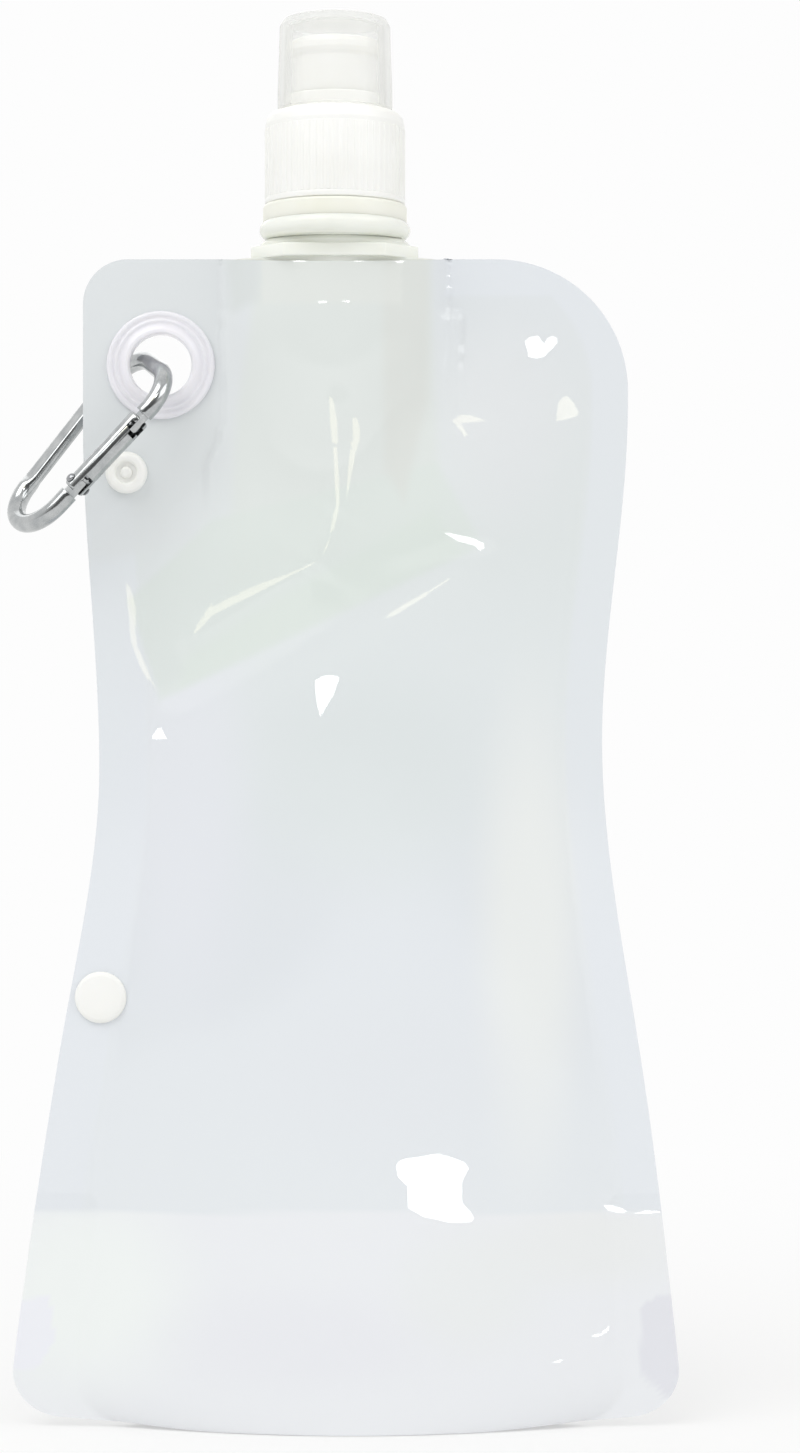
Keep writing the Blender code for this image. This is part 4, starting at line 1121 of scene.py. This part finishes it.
def toward(colours, text, shares):
    """Colours taken part of the way to a hex colour."""
    return colours + (np.array(srgb(text)[:3]) - colours) * shares[:, None]


def clouded(colours, group, column, row):
    for text, share, (middle_column, middle_row), half_width, half_height in group:
        reach = np.hypot((column - middle_column) / half_width, (row - middle_row) / half_height)
        colours = toward(colours, text, share * (1 - soft_steps(reach - 0.3)))
    return colours


def film_colours_and_shade(places):
    """The film's tint with its painted light and shade at each of an array of places."""
    x, y, z = places.T
    column, row = seen_at(x, y, z)
    rows = [entry[0] for entry in row_colours]
    shades = np.array([srgb(entry[1])[:3] for entry in row_colours])
    colours = np.stack([np.interp(row, rows, shades[:, channel]) for channel in range(3)], axis=1)
    # Painted light and shade: the clouds over the body and over the foot
    colours = clouded(colours, light_and_shade_clouds, column, row)
    foot = clouded(np.tile(srgb(foot_colour)[:3], (len(x), 1)), foot_light_and_shade_clouds, column, row)
    heights = np.linspace(0, pouch_height, 400)
    from_left = x - np.interp(z, heights, [left_edge(height) for height in heights]) - left_shade
    from_right = np.interp(z, heights, [right_edge(height) for height in heights]) - x - right_shade
    from_top = np.where(x > 20 * mm, pouch_height - right_shade - z, left_shade)
    from_weld = np.minimum(np.minimum(from_left, from_right), from_top)
    colours = toward(colours, weld_colour, weld_share * (1 - soft_steps((from_weld + 0.6 * mm) / (1.2 * mm))))
    colours += (foot - colours) * soft_steps((row - fold_row) / 3.0 + 0.5)[:, None]
    for text, share, softness, outline in tint_and_shade_patches:
        depth = np.min([a * column + b * row + c for a, b, c in borders(outline)], axis=0)
        colours = toward(colours, text, share * soft_steps(depth / softness + 0.5))
    return colours


def paint_film_tint_and_shade(piece):
    places = np.empty(len(piece.data.vertices) * 3)
    piece.data.vertices.foreach_get("co", places)
    colours = np.ones((len(piece.data.vertices), 4))
    colours[:, :3] = film_colours_and_shade(places.reshape(-1, 3))
    # The tint and its painted light and shade, kept on the film's points
    attribute = piece.data.color_attributes.new("film_tint_painted_shade", "FLOAT_COLOR", "POINT")
    attribute.data.foreach_set("color", colours.ravel())


for piece in (front_film, back_film, gusset_film):
    paint_film_tint_and_shade(piece)
print(f"{len(tint_and_shade_patches) + len(light_and_shade_clouds) + len(foot_light_and_shade_clouds)} zones painted on three films")

# %% [markdown]
# A facet is a flat, sharp-edged patch of film a few millimetres wide that mirrors a lamp. Facets
# could be cut into the mesh, but many are under a millimetre wide. So each is laid over the film
# in its material, as a clear gloss coat with a tilt of its own: halfway between the way to the
# place the photograph was taken from and the way to the lamp. Both places are constants, and the
# tilt is worked out from Object coordinates, so it belongs to the bottle and not to the view.
# Each facet is a convex outline in pixels of the photograph. The film under the coat keeps its
# own smooth surface and colour. Where the film has turned far from a facet's tilt, as on the
# folded pouch, the facet is left out.

# %% Facets of the film
lens_place = Vector((view_x, -camera_distance, view_z))
white_lamp = Vector((view_x + 0.06, -camera_distance, view_z + 0.57))
warm_lamp = Vector((view_x - 0.14, -camera_distance, view_z + 0.57))
white_facets = (
    # Shoulder, belly and the creases beside them
    [(525, 341), (530, 337), (538, 336), (544, 343), (549, 351), (545, 356), (537, 358.5), (529, 357)],
    [(543, 346), (548, 338), (552, 336), (557, 338), (557, 343), (551, 350), (541, 357)],
    [(314.5, 681), (321, 677), (328, 675), (336, 676), (340, 678), (340, 684), (334, 694), (326, 718),
     (321, 719), (317, 705)],
    [(444, 533), (450, 533), (476, 539), (481, 545), (476, 546), (458, 541)],
    [(473, 539), (484, 543), (484, 548), (480, 551), (475, 545)],
    [(158, 728), (161, 728), (167, 739), (152, 739), (153, 735)],
    # Glints over the spout's foot and along the mouth
    [(318, 301), (327, 300.5), (326, 303), (319, 303)],
    [(342, 301), (350, 300.5), (349, 303)],
    [(447, 276), (450.5, 274.5), (449, 276.5)],
    [(446, 287.5), (449, 286), (451, 288)],
    [(292, 260.5), (306, 260), (305, 262), (294, 262)],
    [(354, 260), (366, 260), (363, 261.5), (355, 261.5)],
    [(395, 261), (404, 260.5), (403, 263), (397, 263)],
    # The large one above the gusset's fold, in four convex parts
    [(407, 1159), (438, 1153.5), (456, 1160), (462, 1175), (462, 1215), (448, 1222), (424, 1217),
     (408, 1208)],
    [(396, 1166), (399, 1161), (407, 1158), (424, 1157), (424, 1186), (406, 1185), (398, 1177)],
    [(446, 1155), (464, 1162), (469, 1168), (463, 1180), (450, 1190)],
    [(452, 1190), (462, 1196), (470, 1211), (476, 1217), (470, 1222), (450, 1223), (440, 1220)],
    # Right end of the fold, and the foot
    [(603, 1205), (610, 1205), (622, 1208), (627, 1212), (618, 1213), (608, 1210)],
    [(634, 1214), (645, 1210.5), (660, 1211), (660, 1213), (645, 1213.5)],
    [(592, 1336), (600, 1333.5), (605, 1333), (598, 1337)],
    [(602, 1332), (609, 1326), (609, 1330), (605, 1333)],
    [(552, 1362.5), (558, 1360), (563, 1360), (560, 1362.5)],
)
warm_facets = (
    # Right shoulder
    [(558.5, 402), (563, 397), (567.5, 396), (573, 402), (579, 412), (577, 416), (568, 419), (556, 421.5)],
    [(452, 421), (460, 415), (470, 415), (487, 421), (462, 423)],
    [(452, 420), (459, 420), (468, 435), (465, 437)],
    # The long crease from the cone down to the left
    [(329, 396), (333, 399), (337, 420), (338, 441), (336, 444), (332, 442), (330, 420)],
    [(333, 447), (337, 447), (339, 480), (339.5, 505), (337, 512), (335.5, 505), (334.5, 475)],
    [(335, 508), (339, 506), (337.5, 515), (334, 529), (330, 533), (332, 520)],
    [(330, 530), (334, 527), (328, 546), (320, 559), (317, 561), (325, 547)],
    [(320, 558.5), (309, 566.5), (299, 571), (298, 569.5), (308, 565)],
    [(303, 567.5), (304, 569), (282, 580), (279, 577.5)],
    [(285, 575), (286, 578), (262, 590.5), (239, 602), (239, 592.5), (262, 583)],
    [(243, 590.5), (242, 600.5), (222, 610.5), (210, 617), (206, 604), (220, 600), (232, 596.5)],
    [(206, 603), (212, 603), (214, 613), (208, 620), (200, 629), (187, 640), (197, 625)],
    # The short crease beside it
    [(352.5, 418), (357, 417), (360, 430), (360, 441), (357, 445), (353, 441)],
    [(350, 442), (359, 440), (357, 450), (354, 452)],
    [(349, 450), (356, 448), (355, 460), (351, 478), (346, 504), (344, 506), (348, 470)],
    # Middle right
    [(386, 618), (390, 613), (408, 602), (426, 592), (431, 591), (424, 598), (402, 611), (392, 617)],
    [(430, 590), (449, 578), (449, 580), (431, 592)],
    # Left, along the weld
    [(125, 584), (129, 585), (133, 595), (136, 610), (136, 624), (133, 640), (129, 628), (127, 600)],
    [(129, 625), (136, 620), (137, 640), (141, 656), (136, 656), (131, 642)],
    [(134, 648), (139.5, 650), (146, 666), (152, 681), (147, 679), (140, 667)],
    [(146, 674), (151, 679), (159, 693)],
)
facet_edge = 0.9            # width of a facet's soft edge in pixels
near_facet = 8              # faces of the film this near to a facet, in pixels, get the creased film
facet_sides = [borders(points) for points in white_facets + warm_facets]


def touches_facet(column, row):
    return any(min(a * column + b * row + c for a, b, c in sides) > -near_facet for sides in facet_sides)


# %% Facets as nodes
def folded(tree, operation, outputs):
    """Many outputs joined in turn by one operation."""
    result = outputs[0]
    for output in outputs[1:]:
        result = add_node(tree, "Math", {"operation": operation}, {0: result, 1: output})
    return result


def pixel_of(tree, place):
    """The pixel of the photograph that shows a place, as the vector (column, row, 1)."""
    at = add_node(tree, "SeparateXYZ", inputs={"Vector": place}).node.outputs
    depth = add_node(tree, "Math", {"operation": "ADD"}, {0: at["Y"], 1: camera_distance})
    pixels = add_node(tree, "Math", {"operation": "DIVIDE"}, {0: camera_distance / photo_pixel, 1: depth})
    aside = add_node(tree, "Math", {"operation": "SUBTRACT"}, {0: at["X"], 1: view_x})
    below = add_node(tree, "Math", {"operation": "SUBTRACT"}, {0: view_z, 1: at["Z"]})
    column = add_node(tree, "Math", {"operation": "MULTIPLY_ADD"}, {0: aside, 1: pixels, 2: photo_width / 2})
    row = add_node(tree, "Math", {"operation": "MULTIPLY_ADD"}, {0: below, 1: pixels, 2: photo_height / 2})
    return add_node(tree, "CombineXYZ", inputs={"X": column, "Y": row, "Z": 1.0})


def facet_mask(tree, pixel, outlines):
    """One inside any of the outlines and nought outside them all."""
    depths = []
    for points in outlines:
        sides = [add_node(tree, "VectorMath", {"operation": "DOT_PRODUCT"}, {0: pixel, 1: side}, "Value")
                 for side in borders(points)]
        depths.append(folded(tree, "MINIMUM", sides))
    deepest = folded(tree, "MAXIMUM", depths)
    return add_node(tree, "MapRange", {"interpolation_type": "SMOOTHSTEP"},
                    {"Value": deepest, "From Min": -facet_edge / 2, "From Max": facet_edge / 2})


def mirror_tilt(tree, place, lamp):
    """The surface direction that mirrors a lamp to the place the photograph was taken from."""
    ways = {}
    for side, target in enumerate((lens_place, lamp)):
        way = add_node(tree, "VectorMath", {"operation": "SUBTRACT"}, {0: target, 1: place})
        ways[side] = add_node(tree, "VectorMath", {"operation": "NORMALIZE"}, {0: way})
    halfway = add_node(tree, "VectorMath", {"operation": "ADD"}, ways)
    return add_node(tree, "VectorMath", {"operation": "NORMALIZE"}, {0: halfway})


# %% Film material, plain and creased
film_roughness = 0.09       # cast on a polished roll
least_agreement = 0.65      # a facet on film that has turned this far from its tilt is gone


def milky_laminate(name, groups=()):
    """Milky glossy film. Groups are (outlines, lamp) pairs of facets."""
    made, tree, shader = new_material(name, {"Roughness": film_roughness, "IOR": 1.5})
    place = add_node(tree, "TexCoord", output="Object")
    # Base colour: the film's tint with its painted light and shade
    paint = add_node(tree, "Attribute", {"attribute_name": "film_tint_painted_shade"}, output="Color")
    grain = add_node(tree, "TexNoise", inputs={"Scale": 1 / (7 * mm), "Detail": 2.0, "Vector": place})
    bump = add_node(tree, "Bump", inputs={"Distance": 0.02 * mm, "Strength": 0.4, "Height": grain})
    feed(shader, {"Base Color": paint, "Normal": bump})
    if not groups:
        return made
    pixel = pixel_of(tree, place)
    surface = add_node(tree, "NewGeometry", output="Normal")
    coat_normal, coat_weight = surface, 0.0
    for outlines, lamp in groups:
        tilt = mirror_tilt(tree, place, lamp)
        agreement = add_node(tree, "VectorMath", {"operation": "DOT_PRODUCT"}, {0: surface, 1: tilt}, "Value")
        agrees = add_node(tree, "Math", {"operation": "GREATER_THAN"}, {0: agreement, 1: least_agreement})
        mask = facet_mask(tree, pixel, outlines)
        amount = add_node(tree, "Math", {"operation": "MULTIPLY"}, {0: mask, 1: agrees})
        inside = add_node(tree, "Math", {"operation": "GREATER_THAN"}, {0: amount, 1: 0.001})
        coat_normal = add_node(tree, "Mix", {"data_type": "VECTOR"}, {0: inside, 4: coat_normal, 5: tilt}, 1)
        coat_weight = add_node(tree, "Math", {"operation": "MAXIMUM"}, {0: coat_weight, 1: amount})
    feed(shader, {"Coat Roughness": film_roughness, "Coat Weight": coat_weight, "Coat Normal": coat_normal})
    return made


# Cast on a polished roll: milky, with sharp reflections. The creased one has the facets as well
film = milky_laminate("milky_polyethylene_laminate")
creased_film = milky_laminate("milky_polyethylene_laminate_creased",
                              ((white_facets, white_lamp), (warm_facets, warm_lamp)))
print(f"creased film: {len(creased_film.node_tree.nodes)} nodes for {len(facet_sides)} facets")

# %% [markdown]
# The mouldings are polypropylene and polyethylene. White polypropylene is nearly matt with a
# little light inside. The natural polyethylene of the spout is cream and more translucent. The
# dust cap is clear polypropylene with a spark-eroded skin, which frosts it: it hides more of what
# is behind where the wall is seen edge on. The real grain is too fine to show, so it is drawn
# a few times coarser.

# %% Moulded plastics
def moulded(name, colour, darker, roughness, inside, grain_mm=0.35, relief_mm=0.01):
    """A moulded plastic: slight flow marks in its colour and a fine eroded skin."""
    made, tree, shader = new_material(name, {
        "Roughness": roughness, "IOR": 1.49, "Subsurface Weight": inside, "Subsurface Scale": 3 * mm,
        "Subsurface Radius": (1.0, 0.95, 0.85)})
    place = add_node(tree, "TexCoord", output="Object")
    marks = {"Scale": 1 / (9 * mm), "Detail": 2.0, "Roughness": 0.4, "Vector": place}
    tint = add_node(tree, "ValToRGB", inputs={"Fac": add_node(tree, "TexNoise", inputs=marks)})
    set_stops(tint, [(0.35, srgb(darker)), (0.65, srgb(colour))])
    skin = add_node(tree, "TexNoise", inputs={"Scale": 1 / (grain_mm * mm), "Detail": 3.0, "Vector": place})
    bump = add_node(tree, "Bump", inputs={"Distance": relief_mm * mm, "Strength": 0.5, "Height": skin})
    feed(shader, {"Base Color": tint, "Normal": bump})
    return made


# Injection moulded: an even satin white with soft highlights
white_pp = moulded("white_polypropylene", "FAFAF6", "F7F7F2", 0.34, 0.2)
# Moulded without pigment: waxy and pale, with light inside it
natural_pe = moulded("natural_polyethylene", "F2F4EC", "EDEFE6", 0.2, 0.35)
# The same, thinner and duller: cream beside the white closure
band_pe = moulded("cream_polyethylene", "F4F4E8", "F0F0E0", 0.32, 0.3)
# Moulded in a polished tool: glossy, with a cool cast
eyelet_pp = moulded("natural_polypropylene_eyelet", "F1EFF4", "EEEDF2", 0.18, 0.35)
# Punched from foamed sheet: dull, without a highlight
foam_pe = moulded("foamed_polyethylene_liner", "EDEDE8", "E2E2DC", 0.75, 0.1, 0.25)
# Moulded in an eroded tool: clear plastic that looks misted over
frosted_pp = moulded("frosted_clear_polypropylene", "E7E8E4", "E3E4E0", 0.32, 0.0, 1.2, 0.003)

# %% How much the frosted cap hides, and how little it shades
tree = frosted_pp.node_tree
edge_on = add_node(tree, "LayerWeight", inputs={"Blend": 0.5}, output="Facing")
hides = add_node(tree, "MapRange", inputs={"From Min": 0.2, "To Min": 0.12, "To Max": 0.6, "Value": edge_on})
ray = add_node(tree, "LightPath").node.outputs
scattered = add_node(tree, "Math", {"operation": "ADD"}, {0: ray["Is Shadow Ray"], 1: ray["Is Diffuse Ray"]})
stops_light = add_node(tree, "MapRange", inputs={"To Min": 1.0, "To Max": 0.1, "Value": scattered})
cover = add_node(tree, "Math", {"operation": "MULTIPLY"}, {0: hides, 1: stops_light})
feed(tree.nodes["Principled BSDF"], {"Alpha": cover})

# %% [markdown]
# The carabiner is drawn aluminium wire, tumbled to a bright polish. Drawing leaves faint lines
# along the wire, which are drawn coarser than they are so that they show. Handling dulls it in
# small cloudy patches.

# %% Metals
def polished_metal(name, colour, darker, roughness, line_mm):
    made, tree, shader = new_material(name, {"Metallic": 1.0, "Roughness": roughness})
    place = add_node(tree, "TexCoord", output="Object")
    turned = add_node(tree, "Mapping", {"vector_type": "TEXTURE"}, {
        "Vector": place, "Rotation": loop_frame.to_euler(), "Scale": (14.0, 1.0, 1.0)})
    lines = add_node(tree, "TexNoise", inputs={"Scale": 1 / (line_mm * mm), "Detail": 2.0, "Vector": turned})
    bump = add_node(tree, "Bump", inputs={"Distance": 0.002 * mm, "Strength": 0.3, "Height": lines})
    marks = {"Scale": 1 / (2.4 * mm), "Detail": 3.0, "Roughness": 0.6, "Vector": place}
    patina = add_node(tree, "TexNoise", inputs=marks)
    tint = add_node(tree, "ValToRGB", inputs={"Fac": patina})
    set_stops(tint, [(0.35, srgb(darker)), (0.65, srgb(colour))])
    worn = {"Value": patina, "To Min": roughness * 0.8, "To Max": roughness * 1.3}
    feed(shader, {"Base Color": tint, "Roughness": add_node(tree, "MapRange", inputs=worn), "Normal": bump})
    return made


# Drawn and tumbled: bright, with long clean reflections
aluminium = polished_metal("polished_aluminium_wire", "C2C4C4", "ADB0B1", 0.15, 0.5)
# Drawn hard, not tumbled: greyer and a little duller
steel = polished_metal("bright_spring_steel", "A6A7A9", "8C8E91", 0.2, 0.3)
print(f"{len(bpy.data.materials)} materials made or carried over")

# %% [markdown]
# Each piece now gets its material, rides on its body and stands for the frame's nodes. The film
# of the front and back crosses the fold, and is left on no body.

# %% Pieces, materials and bodies
dressed = (
    (spout_moulding, "upper", "spout", "frosted_plastic", natural_pe),
    (band_ring, "upper", "tamper_band", "cream_plastic", band_pe),
    (eyelet_front_ring, "upper", "eyelet_front", "eyelet_plastic", eyelet_pp),
    (eyelet_back_ring, "upper", "eyelet_back", "eyelet_plastic", eyelet_pp),
    (snap_socket_ring, "upper", "snap_socket", "white_plastic", white_pp),
    (snap_socket_cap, "upper", "snap_socket_cap", "white_plastic", white_pp),
    (gusset_film, "lower", "bottom_gusset", "milky_film", film),
    (snap_stud_boss, "lower", "snap_stud", "white_plastic", white_pp),
    (snap_stud_front, "lower", "snap_stud_cap", "white_plastic", white_pp),
    (closure_moulding, "closure", "closure", "white_plastic", white_pp),
    (pull_nozzle, "nozzle", "nozzle", "white_plastic", white_pp),
    (frosted_cap, "dust_cap", "dust_cap", "clear_cap_plastic", frosted_pp),
    (carabiner_loop, "carabiner", "carabiner_body", "polished_aluminium", aluminium),
    (pin_piece, "carabiner", "latch_pin", "polished_aluminium", aluminium),
    (rivet_piece, "carabiner", "gate_rivet", "spring_steel", steel),
    (gate_tube, "gate", "carabiner_gate", "polished_aluminium", aluminium),
)
for piece, body, node, slot, finish in dressed:
    give(piece, finish)
    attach(piece, body)
    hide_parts(node)
for piece, nodes in ((front_film, ["front_film_upper", "front_film_lower"]),
                     (back_film, ["back_film_upper", "back_film_lower"])):
    give(piece, film)
    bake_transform(piece)
    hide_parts(*nodes)
front_film.data.materials.append(creased_film)
for face in front_film.data.polygons:
    if face.normal.y < 0 and touches_facet(*seen_at(*face.center)):
        face.material_index = 1
for node, finish in (("closure_liner", foam_pe), ("gate_plunger", steel), ("gate_spring", steel)):
    give(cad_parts[node], finish)
print(f"{len(dressed) + 2} pieces dressed, 3 carried over")

# %% [markdown]
# The photograph is high-key: white ground, broad soft light, and a few small lamps close to the
# lens that the film's facets mirror. The ground is one wide sheet that grows bright with distance
# until it meets the white surround, so no horizon shows.

# %% Ground
nothing_selected()
bpy.ops.mesh.primitive_plane_add(size=8, location=(0, 0, -0.2 * mm))
ground = bpy.context.object
ground.name = "ground"
# Matt backdrop paper: it takes a soft shadow and has no highlight
paper, tree, shader = new_material("white_paper_ground", {"Roughness": 0.8, "Base Color": srgb("F6F6F5")})
at_ground = add_node(tree, "TexCoord", output="Object")
distance = add_node(tree, "VectorMath", {"operation": "LENGTH"}, {0: at_ground}, "Value")
far_off = add_node(tree, "MapRange", {"interpolation_type": "SMOOTHSTEP"},
                   {"Value": distance, "From Min": -0.35, "From Max": 0.42})
glow = add_node(tree, "Emission", inputs={"Color": srgb("FDFDFD")})
faded = add_node(tree, "MixShader", inputs={0: far_off, 1: shader.outputs[0], 2: glow})
feed(tree.nodes["Material Output"], {"Surface": faded})
give(ground, paper)

# %% Surround: plain white to the camera, darker in front where metal and gloss mirror the room
world = bpy.data.worlds.new("white_surround")
bpy.context.scene.world = world
world.use_nodes = True
sky = world.node_tree
direction = add_node(sky, "TexCoord", output="Generated")
depth = add_node(sky, "SeparateXYZ", inputs={"Vector": direction}, output="Y")
share = add_node(sky, "MapRange", inputs={"Value": depth, "From Min": -1.0, "From Max": 1.0})
greys = add_node(sky, "ValToRGB", inputs={"Fac": share})
front_to_back = ((0.0, 0.11), (0.06, 0.18), (0.17, 0.58), (0.34, 0.90), (1.0, 1.0))
set_stops(greys, [(place, (grey, grey, grey, 1.0)) for place, grey in front_to_back])
room = add_node(sky, "Background", inputs={"Color": greys})
soft_light = add_node(sky, "Background", inputs={"Color": srgb("FFFFFF"), "Strength": 0.63})
backdrop = sky.nodes["Background"]
feed(backdrop, {"Color": srgb("FDFDFD"), "Strength": 1.0})
ray = add_node(sky, "LightPath").node.outputs
lit = add_node(sky, "MixShader", inputs={0: ray["Is Glossy Ray"], 1: soft_light, 2: room})
seen = add_node(sky, "MixShader", inputs={0: ray["Is Camera Ray"], 1: lit, 2: backdrop.outputs[0]})
feed(sky.nodes["World Output"], {"Surface": seen})


# %% Lamps
def panel_lamp(name, place, width, height, radiance, colour):
    """A flat lamp of an even radiance, turned to the bottle's middle, out of the camera's sight."""
    light = bpy.data.lights.new(name, "AREA")
    light.shape = "RECTANGLE"
    light.size = width
    light.size_y = height
    light.color = srgb(colour)[:3]
    light.energy = radiance * math.pi * width * height
    lamp = bpy.data.objects.new(name, light)
    bpy.context.scene.collection.objects.link(lamp)
    lamp.location = place
    lamp.rotation_euler = (Vector((view_x, 0, view_z)) - Vector(place)).to_track_quat("-Z", "Y").to_euler()
    lamp.visible_camera = False


spark = 80 * mm
panel_lamp("key_softbox", (-1.0, -1.2, 2.0), 1.8, 1.8, 2.2, "FFFFFF")
panel_lamp("fill_softbox", (1.7, -1.0, 1.3), 1.6, 1.2, 1.54, "FFFFFF")
panel_lamp("back_softbox", (-0.5, 1.9, 1.5), 1.8, 1.4, 0.6, "FFFFFF")
panel_lamp("white_spark", white_lamp, spark, spark, 14.0, "FFFFFF")
panel_lamp("warm_spark", warm_lamp, spark, spark, 3.6, "FFF4C8")

# %% Camera
camera = bpy.data.cameras.new("camera")
camera.sensor_width = 36
camera.lens = camera.sensor_width * camera_distance / (photo_height * photo_pixel)
camera_object = bpy.data.objects.new("camera", camera)
bpy.context.scene.collection.objects.link(camera_object)
camera_object.location = (view_x, -camera_distance, view_z)
camera_object.rotation_euler = (math.pi / 2, 0, 0)
bpy.context.scene.camera = camera_object
bpy.context.scene.view_settings.view_transform = "Standard"
print(f"camera lens {camera.lens:.1f} mm")
